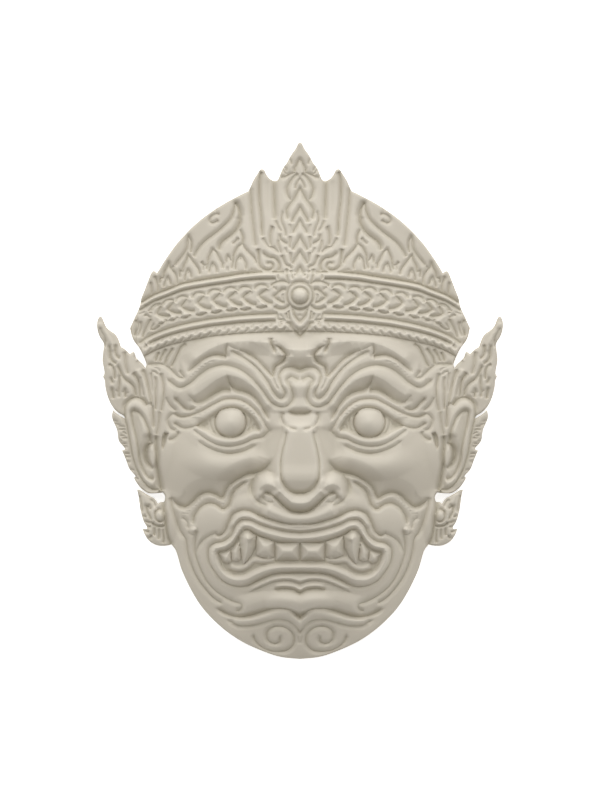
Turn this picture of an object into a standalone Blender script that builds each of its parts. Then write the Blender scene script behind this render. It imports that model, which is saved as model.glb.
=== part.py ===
"""Khon mask: one cast relief, mirrored about X = 0, lying face up on its flat back.

The carving is laid out on a face template: X across from the middle, Y up from the chin.
MASK_HEIGHT sets the real size, and every depth is given in the same template units.
"""

import math

import bmesh
import bpy
import numpy as np

# Driving sizes
MASK_HEIGHT = 0.345         # chin to finial tip, in metres
TEMPLATE_HEIGHT = 516.5     # the same length on the template
RIM = 18.0                  # thickness of the plain edge above the back
DOME_RISE = 46.0            # how far the head bulges above the rim
HEAD_HALF_WIDTH = 158.0
HEAD_HALF_HEIGHT = 242.0
HEAD_MID = 235.0            # height of the widest part of the bulge above the chin
BANK_REACH = 1.9            # how far the banks of a crease run out
BANK_SHARE = 0.35            # how deep those banks are against the crease
CREASE_SHARE = 1.0           # how much of a crease is its sharp bottom
WALL = 14.0                 # shell left between the hollow and the face
STEP = 1.3                  # spacing of the relief grid before it is thinned out
SOLID_TRIANGLES = 9800      # what is kept of the whole mask
SURFACE_COLOUR = (0.617, 0.571, 0.485, 1.0)

# Outline, from the chin round the earring, the ear and the crown to the finial

CHIN_RUN = [(0, 1), (20, 3.2), (40, 10), (60, 19.5), (80, 34), (100, 55.5), (117.5, 88),
            (124.5, 110), (128.5, 115.5)]
EARRING_LOW = [(128.5, 115.5), (134, 114.3), (142, 114.5), (148, 117), (152.5, 121), (155.5, 126),
               (157.5, 131.5)]
EARRING_SIDE = [(157.5, 131.5), (153.5, 131), (153, 133), (156, 138), (159.5, 150), (161.5, 164),
                (163, 170.5)]
EARRING_TOP = [(163, 170.5), (160, 170), (155, 167), (150, 164), (146, 162), (143.5, 159),
               (142, 156.5)]
POCKET = [(142, 156.5), (139.5, 158), (136.5, 158), (135, 161), (135, 164), (137, 167.5)]
LOBE_RUN = [(137, 167.5), (141, 167), (147, 166.5), (152, 167), (157, 170), (161, 174), (165, 180),
            (166, 182.5)]
EAR_LOW = [(166, 182.5), (164.5, 183.5), (170.5, 191), (174, 200), (178, 209.5)]
EAR_MID = [(178, 209.5), (175, 211), (181, 219), (183, 230), (188, 243), (187, 250)]
EAR_SLIT = [(187, 250), (185, 248), (181, 245), (175, 241.5)]
EAR_BACK = [(175, 241.5), (176, 243.8), (181, 247), (186, 251.5), (191, 260), (194.5, 272),
            (195.5, 280), (197, 283.5)]
EAR_HIGH = [(197, 283.5), (195.5, 287), (196, 291), (197.5, 300), (196.5, 310), (196, 316),
            (201, 325), (203, 334), (202, 341), (200, 344)]
EAR_FRONT = [(200, 344), (198, 342.5), (194, 333.5), (190, 329.5), (185, 326), (182, 321.5),
             (179, 313)]
EAR_STEP = [(179, 313), (176, 311.5), (173, 309), (170, 306)]
EAR_HOOK = [(170, 306), (168, 307.5), (166, 308), (164, 302.5), (157, 295.5), (154.5, 292)]
BAND_LOW = [(154.5, 292), (153.5, 295.5), (154.5, 299), (160, 311), (167, 321), (170, 332)]
BAND_HIGH = [(170, 332), (165.5, 342), (160.5, 353), (158.5, 362), (155, 371), (150, 384),
             (148, 388), (146, 389), (143, 387)]
CROWN_RUN = [(143, 387), (134, 401.5), (121, 419), (101, 439), (80, 454), (60, 465), (51.5, 469)]
POST_OUT = [(51.5, 469), (46, 481), (42, 487), (39.8, 490.5), (38, 491)]
POST_IN = [(38, 491), (36, 490), (33, 484.5), (29, 480.5), (25, 479), (22, 480.3)]
FINIAL_RUN = [(22, 480.3), (17, 492), (13, 497.5), (9, 505), (4, 512), (1.5, 517), (0, 517.5)]
OUTLINE_RUNS = [CHIN_RUN, EARRING_LOW, EARRING_SIDE, EARRING_TOP, POCKET, LOBE_RUN, EAR_LOW,
        EAR_MID,
                EAR_SLIT, EAR_BACK, EAR_HIGH, EAR_FRONT, EAR_STEP, EAR_HOOK, BAND_LOW, BAND_HIGH,
                CROWN_RUN, POST_OUT, POST_IN, FINIAL_RUN]


def spline(points, spacing=1.0, closed=False):
    """A smooth run through the named points, sampled about every spacing."""
    p = np.asarray(points, float)
    if closed:
        p = np.vstack([p[-1:], p, p[:2]])
    elif len(p) == 2:
        n = max(2, int(math.hypot(*(p[1] - p[0])) / spacing) + 1)
        return p[0] + (p[1] - p[0]) * np.linspace(0, 1, n)[:, None]
    else:
        p = np.vstack([2 * p[0] - p[1], p, 2 * p[-1] - p[-2]])
    out = []
    for a, b, c, d in zip(p[:-3], p[1:-2], p[2:-1], p[3:]):
        n = max(1, int(math.ceil(np.linalg.norm(c - b) / spacing)))
        # Centripetal spacing keeps the run from looping at uneven points.
        k0 = 0.0
        k1 = k0 + max(np.linalg.norm(b - a), 1e-6) ** 0.5
        k2 = k1 + max(np.linalg.norm(c - b), 1e-6) ** 0.5
        k3 = k2 + max(np.linalg.norm(d - c), 1e-6) ** 0.5
        t = (k1 + (k2 - k1) * np.arange(n) / n)[:, None]
        a1 = (k1 - t) / (k1 - k0) * a + (t - k0) / (k1 - k0) * b
        a2 = (k2 - t) / (k2 - k1) * b + (t - k1) / (k2 - k1) * c
        a3 = (k3 - t) / (k3 - k2) * c + (t - k2) / (k3 - k2) * d
        b1 = (k2 - t) / (k2 - k0) * a1 + (t - k0) / (k2 - k0) * a2
        b2 = (k3 - t) / (k3 - k1) * a2 + (t - k1) / (k3 - k1) * a3
        out.append((k2 - t) / (k2 - k1) * b1 + (t - k1) / (k2 - k1) * b2)
    out.append(p[-2][None, :])
    return np.vstack(out)


def ease(t):
    t = np.clip(t, 0.0, 1.0)
    return t * t * (3 - 2 * t)


def blurred(values, reach):
    """A wide, smooth average: three box averages one after another."""
    out = values
    for _ in range(3):
        for axis in (0, 1):
            pad = [(0, 0), (0, 0)]
            pad[axis] = (reach + 1, reach)
            total = np.cumsum(np.pad(out, pad, mode="edge"), axis=axis)
            if axis == 0:
                out = (total[2 * reach + 1:] - total[:-2 * reach - 1]) / (2 * reach + 1)
            else:
                out = (total[:, 2 * reach + 1:] - total[:, :-2 * reach - 1]) / (2 * reach + 1)
    return out


class Relief:
    """Heights over the right half of the mask, built up from masses and carved by strokes."""

    def __init__(self, step):
        self.step = step
        self.xs = np.arange(0, 206 + step, step)
        self.ys = np.arange(-2, 520 + step, step)
        self.x, self.y = np.meshgrid(self.xs, self.ys)
        self.h = np.zeros_like(self.x)
        self.crease = np.zeros_like(self.x)
        self.soft = np.zeros_like(self.x)

    def window(self, lo, hi):
        i0 = max(0, int((lo[0] - self.xs[0]) / self.step))
        i1 = min(len(self.xs), int((hi[0] - self.xs[0]) / self.step) + 2)
        j0 = max(0, int((lo[1] - self.ys[0]) / self.step))
        j1 = min(len(self.ys), int((hi[1] - self.ys[0]) / self.step) + 2)
        return slice(j0, max(j0, j1)), slice(i0, max(i0, i1))

    def near(self, run, reach):
        """Window, distance, offset in Y and place from 0 to 1 along the run."""
        win = self.window(run.min(0) - reach, run.max(0) + reach)
        x, y = self.x[win], self.y[win]
        dist = np.full(x.shape, 1e9)
        rise = np.zeros(x.shape)
        place = np.zeros(x.shape)
        length = np.concatenate([[0], np.cumsum(np.linalg.norm(np.diff(run, axis=0), axis=1))])
        if x.size == 0:
            return win, dist, rise, place
        ox, oy = x[0, 0], y[0, 0]
        for k in range(len(run) - 1):
            a, b = run[k], run[k + 1]
            lo, hi = np.minimum(a, b) - reach, np.maximum(a, b) + reach
            i0 = max(0, int((lo[0] - ox) / self.step))
            i1 = int((hi[0] - ox) / self.step) + 2
            j0 = max(0, int((lo[1] - oy) / self.step))
            j1 = int((hi[1] - oy) / self.step) + 2
            if i1 <= 0 or j1 <= 0:
                continue
            s = (slice(j0, j1), slice(i0, i1))
            d = b - a
            q = d @ d
            if q < 1e-12:
                continue
            t = np.clip(((x[s] - a[0]) * d[0] + (y[s] - a[1]) * d[1]) / q, 0, 1)
            ex, ey = x[s] - a[0] - t * d[0], y[s] - a[1] - t * d[1]
            e = np.sqrt(ex * ex + ey * ey)
            better = e < dist[s]
            dist[s] = np.where(better, e, dist[s])
            rise[s] = np.where(better, ey, rise[s])
            place[s] = np.where(better, (length[k] + t * (length[k + 1] - length[k])), place[s])
        return win, dist, rise, place / max(length[-1], 1e-6)

    def cut(self, points, depth=2.6, width=4.0, fade=(0, 0), soft=0.0, reach=12.0, skew=-0.1,
            below=0.28):
        """Carves a crease with plain banks; soft adds a wide hollow, mostly above it."""
        run = spline(points)
        far = max(width * (1 + skew), reach if soft else 0)
        win, d, rise, s = self.near(run, far)
        length = np.linalg.norm(np.diff(run, axis=0), axis=1).sum()
        full = np.ones_like(d)
        if fade[0]:
            full = full * (0.15 + 0.85 * ease(s * length / fade[0]))
        if fade[1]:
            full = full * (0.15 + 0.85 * ease((1 - s) * length / fade[1]))
        lean = rise / np.maximum(d, 1e-3)
        w = width * (1 - skew * lean) * (0.4 + 0.6 * full)
        t = np.clip(1 - d / w, 0, 1)
        self.crease[win] = np.maximum(self.crease[win], depth * full * (0.75 * t + 0.25 * t ** 5))
        if soft:
            w = reach * np.where(lean > 0, 1, below)
            t = np.clip(1 - d / w, 0, 1)
            # The hollow dies away over a longer stretch than the crease itself.
            rate = [reach if value else 0.01 for value in fade]
            full = ease(s * length / rate[0]) * ease((1 - s) * length / rate[1])
            self.soft[win] = np.maximum(self.soft[win], soft * full * t ** 1.6)

    def swell(self, points, height, width, fade=(0, 0), power=1.0):
        """Raises a rounded strand along a run."""
        run = spline(points)
        win, d, rise, s = self.near(run, width)
        length = np.linalg.norm(np.diff(run, axis=0), axis=1).sum()
        full = np.ones_like(d)
        if fade[0]:
            full = full * ease(s * length / fade[0])
        if fade[1]:
            full = full * ease((1 - s) * length / fade[1])
        t = np.clip(1 - (d / width) ** 2, 0, 1) ** power
        self.h[win] += height * full * t

    def mound(self, x, y, rx, ry, height, turn=0.0, power=2.0):
        """Adds a smooth mass; turn is in degrees."""
        r = max(rx, ry)
        win = self.window((x - r, y - r), (x + r, y + r))
        c, s = math.cos(math.radians(turn)), math.sin(math.radians(turn))
        u = ((self.x[win] - x) * c + (self.y[win] - y) * s) / rx
        v = (-(self.x[win] - x) * s + (self.y[win] - y) * c) / ry
        self.h[win] += height * np.clip(1 - u * u - v * v, 0, 1) ** power

    def inside(self, run, win):
        x, y = self.x[win], self.y[win]
        odd = np.zeros(x.shape, bool)
        for a, b in zip(run, np.roll(run, -1, axis=0)):
            if a[1] == b[1]:
                continue
            cross = ((a[1] > y) != (b[1] > y)) & (x < (b[0] - a[0]) * (y - a[1]) / (b[1] - a[1]) + a[0])
            odd ^= cross
        return odd

    def plate(self, run, height, edge, round_=1.0):
        """Raises (or sinks, with a negative height) everything inside a closed run."""
        win, d, rise, s = self.near(np.vstack([run, run[:1]]), edge)
        inner = self.inside(run, win)
        t = np.where(inner, np.clip(d / edge, 0, 1), 0)
        t = np.where(inner & (d > 1e8), 1.0, t)
        self.h[win] += height * (1 - (1 - t) ** 2) ** round_

    def banks(self):
        """Wide banks that fall away on both sides of every crease."""
        return blurred(self.crease, max(1, round(BANK_REACH / self.step)))

    def between(self, outer, inner, height):
        """Raises a rounded strand that fills the room between two closed runs."""
        reach = 16
        win, out_by, _, _ = self.near(np.vstack([outer, outer[:1]]), reach)
        far = np.full(self.x.shape, 1e9)
        inner_win, in_by, _, _ = self.near(np.vstack([inner, inner[:1]]), reach)
        far[inner_win] = in_by
        room = self.inside(outer, win) & ~self.inside(inner, win)
        share = out_by / np.maximum(out_by + far[win], 1e-3)
        self.h[win] += np.where(room, height * np.clip(4 * share * (1 - share), 0, 1) ** 0.7, 0)

    def finished(self):
        return self.h - CREASE_SHARE * self.crease - BANK_SHARE * self.banks() - self.soft


def band_low(x):
    return np.interp(x, [0, 30, 60, 90, 110, 130, 140, 150, 156, 172],
            [328.5, 328.1, 326.5, 323.5, 319.5, 315, 311.5, 307, 303.5, 292])


def band_high(x):
    return np.interp(x, [0, 25, 43, 60, 70, 90, 110, 120, 130, 147, 158, 172],
            [388, 387.8, 387.5, 385.9, 384, 381, 377.7, 375.3, 371, 364.5, 357.5, 347])


def band_line(part, x0, x1, step=6.0):
    x = np.linspace(x0, x1, max(3, int((x1 - x0) / step)))
    lo, hi = band_low(x), band_high(x)
    return np.column_stack([x, lo + (hi - lo) * part])


def dome(x, y):
    """Bulge of the head, running out gently under the ears and the finial."""
    rad = (x / HEAD_HALF_WIDTH) ** 2 + ((y - HEAD_MID) / HEAD_HALF_HEIGHT) ** 2
    tail = 0.13
    return RIM + DOME_RISE * tail * np.log1p(np.exp((1 - rad) / tail))


def masses(relief):
    x, y = relief.x, relief.y
    relief.h[:] = dome(x, y)
    # Ears sit lower than the head and bulge a little.
    relief.mound(166, 240, 42, 90, 7, 0, 1)
    relief.mound(188, 305, 26, 50, 4, -15, 1)
    relief.mound(146, 140, 24, 34, 5, 0, 1)
    # Muzzle, cheeks and chin.
    relief.mound(0, 110, 124, 88, 11, 0, 1.5)
    relief.mound(88, 202, 58, 42, 9, -8, 1.5)
    relief.mound(90, 140, 24, 26, 4, 20, 1.5)
    # Roll of the cheek under the eye.
    relief.swell([(34, 209), (46, 201), (60, 195), (74, 192), (88, 193), (104, 200), (118, 210)],
            4.2, 13, (18, 36), 1.3)
    relief.mound(14, 56, 22, 13, 3.5, 0, 1.2)
    relief.swell([(-8, 54), (0, 54), (20, 57), (36, 56), (52, 50)], 3.0, 12, (0, 10), 1.2)
    relief.mound(0, 40, 80, 46, 6, 0, 1.5)
    # Brow shelf.
    relief.swell([(4, 262), (18, 262), (35, 283), (60, 296), (85, 294), (104, 283), (118, 274),
            (136, 284)], 3.5, 24, (0, 20), 1.5)
    # Forehead, rolling over above the brows.
    relief.swell([(-10, 316), (0, 317), (20, 321), (42, 322), (62, 321), (85, 318), (104, 311),
            (120, 300)], 3.6, 15, (0, 16), 1.3)
    # Eye bulge.
    relief.mound(70, 238, 52, 34, 7, 0, 1.5)


def nose(relief):
    # Height and half width of the flat front, from the brow down to the lip.
    ys = [312, 303, 296, 289.5, 284, 279, 274, 268, 262, 257, 253.5, 250, 247, 244, 238, 233.5,
            230, 212,
          195, 186, 180, 175, 170.5, 167.5, 165, 160, 152, 148, 142, 136, 127, 116, 100]
    zs = [0.4, 2, 1.6, 0.4, 1.8, 3.0, 4.2, 3.5, 2.6, 3.9, 4.8, 4.2, 3.4, 5.2, 9.8, 13.6, 14.4, 16.8,
          19, 19.7, 19.3, 18.2, 16.6, 15.3, 14, 12.9, 11.2, 10.1, 8.4, 6.6, 4.2, 2, 0]
    ws = [22, 22, 22, 20, 20, 19, 18, 18, 18, 17, 17, 17, 16, 16, 15, 14, 13.2, 17.4,
          20.8, 20.8, 20, 19, 19, 22, 25, 30, 32, 31, 29, 27, 26, 24, 24]
    up = spline_profile(relief.y, ys, zs)
    w = spline_profile(relief.y, ys, ws)
    flank = ease((relief.x - 0.9 * w) / (0.5 * w))
    spread = ease((relief.x - w) / (1.5 * w))
    relief.h += up * (1 - 0.45 * flank - 0.55 * spread)
    # One ribbon runs from wing to wing under the tip and curls round at its end.
    relief.swell([(-8, 156), (0, 155.5), (8, 156.3), (14, 160.5), (20, 166.5), (26, 172.5),
            (32, 175.5), (38, 174.5),
             (42.5, 169.5), (42.5, 163), (37.5, 158)], 4.6, 8, (0, 8), 1.2)
    relief.mound(33, 174, 15, 15, 8.0, 20, 1.1)
    # Upper lip strand, steep below and falling gently away above.
    relief.swell([(-8, 139.5), (0, 139), (10, 140), (20, 143.5), (30, 148), (38, 152.5)],
            4.8, 7.5, (0, 8), 1.2)
    relief.swell([(-8, 130), (0, 130), (13.3, 131.2), (26.7, 134.4), (40, 139.6), (50, 144.2),
            (58, 145), (64.5, 140.5), (69, 132)], 3.0, 5.6, (0, 6), 1.1)


def spline_profile(v, at, values):
    at = np.asarray(at, float)
    values = np.asarray(values, float)
    order = np.argsort(at)
    run = spline(np.column_stack([at[order], values[order]]), 1.0)
    return np.interp(v, run[:, 0], run[:, 1], left=values[order][0], right=values[order][-1])


def chin(relief):
    cut = relief.cut
    cut([(46.2, 27), (45.3, 20), (41.3, 15), (34, 10.5), (25, 8.3), (13.3, 9.3), (7, 14.7),
            (5.7, 22), (8.7, 28), (17.3, 33), (26.7, 32.7), (32.7, 28), (33, 21.5), (30.3, 17.7),
            (24.5, 16), (20, 18.3), (20, 22.3), (21.7, 23.3)], 2.6, 4.2, (4, 2))
    cut([(0, 42), (3.3, 45.3), (10.7, 50), (20, 51.3), (30, 50.3), (40, 47.3), (52, 43.7),
            (62.7, 43), (72, 45.3), (81.3, 50.3), (85, 52)], 2.4, 4.2, (0, 6), 1.8, 11)
    cut([(0, 27), (2.7, 32), (10.7, 38.7), (21.3, 40.7), (31.3, 39), (41.3, 36), (50, 34.1),
            (61.3, 34.3), (70.7, 38.7), (75.3, 40.7)], 2.6, 4.5, (0, 8))
    relief.swell([(-5, 30.5), (0, 34.5), (5, 38.6), (10.7, 42.2), (20, 43.8), (30, 43), (40, 40),
            (50, 37.8), (60, 37.5), (70, 41)], 2.4, 5, (0, 8), 1.1)
    cut([(0, 15), (1.5, 20), (2, 26)], 1.6, 3.5, (3, 3))


def mouth(relief):
    ring = spline([(0, 87), (26.7, 85.3), (40, 80), (53.3, 73.9), (65.3, 73.7), (76.7, 78.7),
            (84, 86.7), (90.7, 98.7), (91.2, 110.7), (86, 117.3), (76.7, 119.7), (69.3, 125.3),
            (65, 134.7), (58.7, 141), (50, 141), (40, 136.3), (26.7, 131.7), (13.3, 128.7),
            (0, 127.3)])
    cut = relief.cut
    opening = np.vstack([spline([(0, 116), (16, 116.7), (30, 119.7), (42.7, 124.7), (50.7, 129),
            (54.7, 129.5), (60.3, 124), (65.3, 116), (72, 110.1), (80.7, 107.7)]),
                         spline([(81.5, 106), (79.3, 98.7), (74.7, 90.3), (66.7, 86), (57.3, 86.3),
                                 (46.7, 91.3), (34.7, 95.7), (20, 98.1), (0, 98)])])
    # Lips fill the room between the ring line and the opening.
    relief.between(mirrored(ring), mirrored(opening), 4.8)
    relief.plate(mirrored(opening), -2.6, 2.5)
    # Strands of the lower lip, each with its ridge near its foot.
    relief.swell([(-8, 79.3), (0, 79.3), (10, 81.6), (22, 81), (32, 78), (42.7, 73.4), (52, 69)],
            3.0, 5, (0, 8), 1.1)
    relief.swell([(-8, 70.2), (0, 70.2), (6.7, 73.2), (17.3, 74.2), (26.7, 72.6)],
            2.0, 3.8, (0, 6), 1.1)
    cut(ring, 2.4, 3.6)
    cut(opening, 2.4, 3.0)
    cut([(0, 75.8), (10, 78.7), (22, 78.3), (32, 75.3), (42.7, 70.7), (52, 66.5)], 2.2, 3.4, (0, 8))
    cut([(0, 66.6), (6.7, 70), (17.3, 71), (26.7, 69.5)], 2.0, 3.4, (0, 4), 1.0, 6)
    cut([(0, 135.7), (13.3, 136.3), (26.7, 140.3), (40, 145.3), (49.3, 150), (58, 150.8),
            (66.7, 146.3), (71.3, 137.3), (76, 127.3), (81.3, 124.3), (87.3, 128.7)],
            2.2, 3.4, (0, 3), 1.2, 7)
    cut([(84, 126.4), (90.7, 124), (97.3, 119.3), (102.4, 112), (104, 105)], 2.4, 3.6, (2, 4))


def mirrored(run):
    return np.vstack([run, run[::-1] * [-1, 1]])


def teeth(relief):
    def tooth(pts, top, ridge):
        run = spline_closed(pts)
        # A faceted block: height falls evenly from the ridge line to every side.
        win, d, _, _ = relief.near(np.vstack([run, run[:1]]), 9)
        inner = relief.inside(run, win)
        relief.h[win] += np.where(inner, np.minimum(top, 0.6 + 1.05 * np.minimum(d, ridge)), 0)
    def spline_closed(pts):
        return np.asarray(pts, float)
    tooth([(0.7, 99), (24.3, 99), (24.5, 115.5), (0.7, 115.5)], 9.5, 7.5)
    tooth([(25.8, 117.4), (25.8, 102.5), (30, 100.7), (38, 102), (44, 105), (44, 114), (43, 123)],
            9.5, 7)
    tooth([(43.8, 124), (44.5, 113), (49, 103.5), (56.7, 95.5), (58.7, 106), (60.5, 118),
            (61, 123), (57, 128.5), (52, 129)], 10.5, 8)
    tooth([(60.5, 119), (59, 100), (63, 98.3), (68, 99.5), (69, 109), (65, 115)], 8, 5)
    tooth([(69.7, 109.2), (68.6, 99), (72, 96), (77, 98), (80.8, 106)], 8, 5)
    relief.mound(52, 122, 6, 6, 3.5)
    # Gums under the lower teeth.
    relief.swell([(24, 99.5), (35, 98.6), (46, 99.5), (54, 93.2), (62, 91), (72, 94)],
            2.6, 3.4, (4, 4))
    relief.cut([(0, 97.2), (20, 97.4), (34.7, 95.2), (46.7, 90.8), (57.3, 85.8), (66.7, 85.6),
            (74.7, 90)], 2.0, 2.8)


def nose_lines(relief):
    cut = relief.cut
    cut([(0, 166.6), (5, 166.8), (10.5, 169), (14.6, 173.2), (18.2, 180), (19.4, 188), (19.4, 197),
            (17.8, 208), (15.2, 219), (13.4, 229.5)], 2.8, 3.0, (0, 3))
    cut([(0, 147.2), (8, 148.4), (16, 153.6), (26.7, 163.8), (33.3, 167), (37, 164.3),
            (33.3, 160.3), (25.7, 157.9)], 1.9, 3.2, (0, 3))
    # Plain underside of the ribbon, above its line.
    cut([(-6, 147.6), (0, 147.2), (8, 148.4), (16, 153.6), (26.7, 163.8), (33.3, 167),
            (38.2, 165)], 0.8, 2.4, (0, 4), 2.6, 8)
    cut([(32, 154.3), (40, 157.3), (46, 163), (49, 170), (47.7, 178.7), (42.7, 186)],
            2.6, 4.2, (3, 3))
    cut([(28.3, 202.7), (29.3, 198.7), (34.7, 191.3), (42.7, 187.3), (53.3, 185.3), (63.3, 180),
            (72, 173), (78.3, 162.3), (83.3, 165), (91.3, 167.5), (100, 165), (107.3, 158),
            (115.3, 153), (124, 156.7), (128.9, 163.3)], 1.8, 3.4, (7, 4), 3.8, 15)
    cut([(28.7, 187.7), (31.3, 189.3), (35, 190.3)], 1.8, 3.5, (2, 2))
    cut([(50.7, 179.7), (60, 174), (66.7, 167.3), (71.7, 154.3), (76.7, 150.7), (83.3, 155),
            (91.3, 156.5), (99.3, 152.7), (105, 144.7), (107.7, 134.7)], 2.8, 4.6, (6, 3), 2.0, 9)


def jaw(relief):
    cut = relief.cut
    cut([(102.7, 130.7), (104.8, 117.3), (104, 106.7), (100, 95), (93.3, 80.7), (86, 71.3),
            (76.7, 63.3), (66.7, 58.3), (58.2, 55.2), (58.7, 51), (64.7, 48.3)], 2.6, 4.4, (3, 3))
    cut([(128.9, 163.3), (127, 151.3), (123, 138), (119.3, 128), (114.2, 120.7), (112.7, 110.7),
            (109.3, 100), (101.3, 83.3), (92, 69.3), (84, 60.7), (76.7, 56)], 2.6, 4.4, (2, 3))
    cut([(119.3, 143), (113.3, 138.7), (111.7, 130.7)], 2.0, 3.2, (3, 2))
    relief.mound(107.3, 129.7, 5, 5, 4)
    cut([(103.5, 126), (107, 125), (110.5, 127)], 1.6, 2.4)


def eye(relief):
    cut = relief.cut
    upper = [(39.7, 229.7), (43.3, 237), (49.3, 244.3), (57.3, 250.3), (66.7, 253.1),
            (76.7, 251.7), (85.3, 246.3), (94.7, 239.7), (104, 234.3), (116, 231.7), (124.7, 236),
            (127.3, 237.3)]
    lower = [(39.7, 229), (46, 229.3), (55.3, 224.7), (64, 221.7), (72, 221.3), (84, 223.7),
            (95.3, 230), (104, 233.8)]
    hole = np.vstack([spline(upper[:9]), spline(lower)[::-1]])
    relief.plate(hole, -4.5, 3)
    # The eyeball is the cap of a sphere.
    win = relief.window((52, 220), (86, 253))
    d2 = (relief.x[win] - 69) ** 2 + (relief.y[win] - 238) ** 2
    inner = relief.inside(hole, win)
    cap = np.sqrt(np.clip(19.5 ** 2 - d2, 0, None)) - math.sqrt(19.5 ** 2 - 16 ** 2)
    relief.h[win] += np.where(inner & (d2 < 16 ** 2), cap * 0.95 + 1.0, 0)
    cut(upper, 3.4, 4.0, (1, 3))
    cut(lower, 2.2, 3.6, (1, 2))
    cut([(68.6 + 16.4 * math.sin(a),
            237.4 + 16.4 * math.cos(a)) for a in np.linspace(0.9, 5.4, 22)], 1.9, 2.4)
    cut([(44, 236), (47, 233.5), (47, 230)], 1.4, 2.5)
    cut([(31, 228.7), (37.3, 222.7), (46.7, 220.6), (56.7, 216), (68, 213.4), (80, 214.2),
            (91.3, 219.2), (102, 226.6), (108, 231.3)], 2.6, 4.4, (0, 4))
    cut([(42.7, 215.4), (50.7, 211), (60, 207.4), (73.3, 206.4), (85.3, 209.4), (96, 214.6),
            (103.3, 220.4)], 2.4, 4.4, (5, 6))
    cut([(31, 228.7), (38.7, 242), (46.7, 252), (55.3, 258.5), (65.3, 261.7), (76, 261.3),
            (86.7, 256), (96.7, 250), (106.7, 245.3), (118, 242.7), (127.3, 245.7), (132.3, 240),
            (129.3, 231.3), (126, 229.7)], 2.8, 4.5)
    cut([(30.3, 238.7), (38, 252.7), (46.7, 263.3), (55.3, 268), (64, 270), (69.7, 275.3),
            (73.3, 286.7)], 2.8, 4.6, (4, 5), 3.5, 13)
    cut([(70, 269.9), (77.3, 269.7), (86.7, 265.3), (95.3, 259), (103.3, 257), (109.3, 262.7),
            (112.5, 265.5)], 2.8, 4.6, (0, 4), 4.0, 14)
    cut([(103.3, 252.3), (112, 250), (120.7, 256.7), (126.7, 263.3)], 2.4, 3.8, (3, 4))
    cut([(122, 250), (126, 250.7), (132.7, 258.7), (134.7, 264.7)], 2.2, 3.4, (3, 4))
    cut([(121.7, 228.7), (122.7, 224.7), (128.7, 220.3), (132, 221)], 2.6, 3.6, (1, 2))
    relief.plate(np.array([(131, 227), (136, 228), (138.5, 222), (139, 214), (137.5, 208.5),
            (134.5, 215)]), -4.5, 3)


def brow(relief):
    cut = relief.cut
    cut([(0, 279.6), (4, 281.3), (8.5, 283), (12.7, 280), (9.7, 273.3), (6.8, 262), (12, 254.3),
            (19.3, 252.7), (28, 256.7), (35.3, 266), (43.3, 276.3), (53.3, 286), (64.7, 292.3),
            (77.3, 294.7), (90, 291.7), (100.7, 284.7), (110, 276.7), (120, 272.2), (129.3, 277.7),
            (134, 282)], 2.9, 4.6, (3, 6))
    cut([(0, 290), (8, 292.7), (16, 291.3), (21, 284), (19.3, 276), (14.8, 266), (18.7, 261),
            (24.7, 265.3), (32.7, 278.7), (43.3, 292), (57.3, 302.7), (70, 309.3)],
            2.8, 4.2, (0, 3))
    cut([(0, 288.6), (8, 291.4), (15, 290.6)], 1.2, 3.0, (0, 4), 2.6, 12)
    cut([(27.5, 284), (35.3, 292), (44, 300.7), (53.3, 306.7), (62, 310)], 2.6, 4.0, (0, 3),
            3.8, 13)
    cut([(27.3, 283.7), (24.8, 276.5), (21, 269.5)], 1.8, 3.2, (0, 3))
    cut([(62, 310), (68, 312.3), (72.3, 314.7)], 1.6, 3.2)
    cut([(72.3, 314.7), (74, 310), (72.7, 304)], 2.2, 3.2)
    cut([(74, 303.7), (85.3, 304.7), (95.3, 301.3), (104.7, 294), (110, 289.7), (114, 287.2)],
            2.8, 4.4, (0, 4), 4.0, 14)
    cut([(120.7, 290.5), (118.5, 286), (116.3, 282.3), (121, 282.6), (128, 289), (132, 292.5),
            (137, 295.3), (146, 296), (153, 295.3)], 2.6, 3.6, (3, 2))
    cut([(28.7, 322.3), (29.3, 318), (25.7, 310), (23.8, 305.5)], 2.4, 3.8, (1, 4), 2.6, 8)
    cut([(25.7, 315.3), (18.7, 310.7), (14.3, 304.7), (17.3, 298), (24.7, 292.7), (27.3, 283.7)],
            2.6, 4.0, (3, 0), 3.0, 9)
    cut([(0, 245.8), (5, 246), (9, 247.3), (12.5, 249.8)], 2.2, 3.0, (0, 4), 1.2, 7)
    cut([(2, 230.6), (8, 231.4), (13, 234.6), (16.4, 238.6)], 1.6, 3.4, (3, 2), 1.4, 7)
    cut([(16, 248), (18.6, 242.7), (16.2, 236.3), (10.6, 231.3)], 2.4, 3.4, (2, 3))
    # Four straps running down from the band at the temple.
    for run in ([(113.1, 316.9), (118.9, 312.6), (122.4, 306.1), (126, 298.3), (129.2, 292.6)],
                [(126.3, 312.4), (129.6, 307.6), (133.1, 301.9), (135.4, 294.6)],
                [(133.3, 311.4), (136.7, 306.1), (138.9, 301.9), (140.4, 298)],
                [(140.4, 308.5), (143.1, 303.3), (144.6, 298)]):
        cut(run, 3.2, 3.6, (2, 1))


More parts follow.
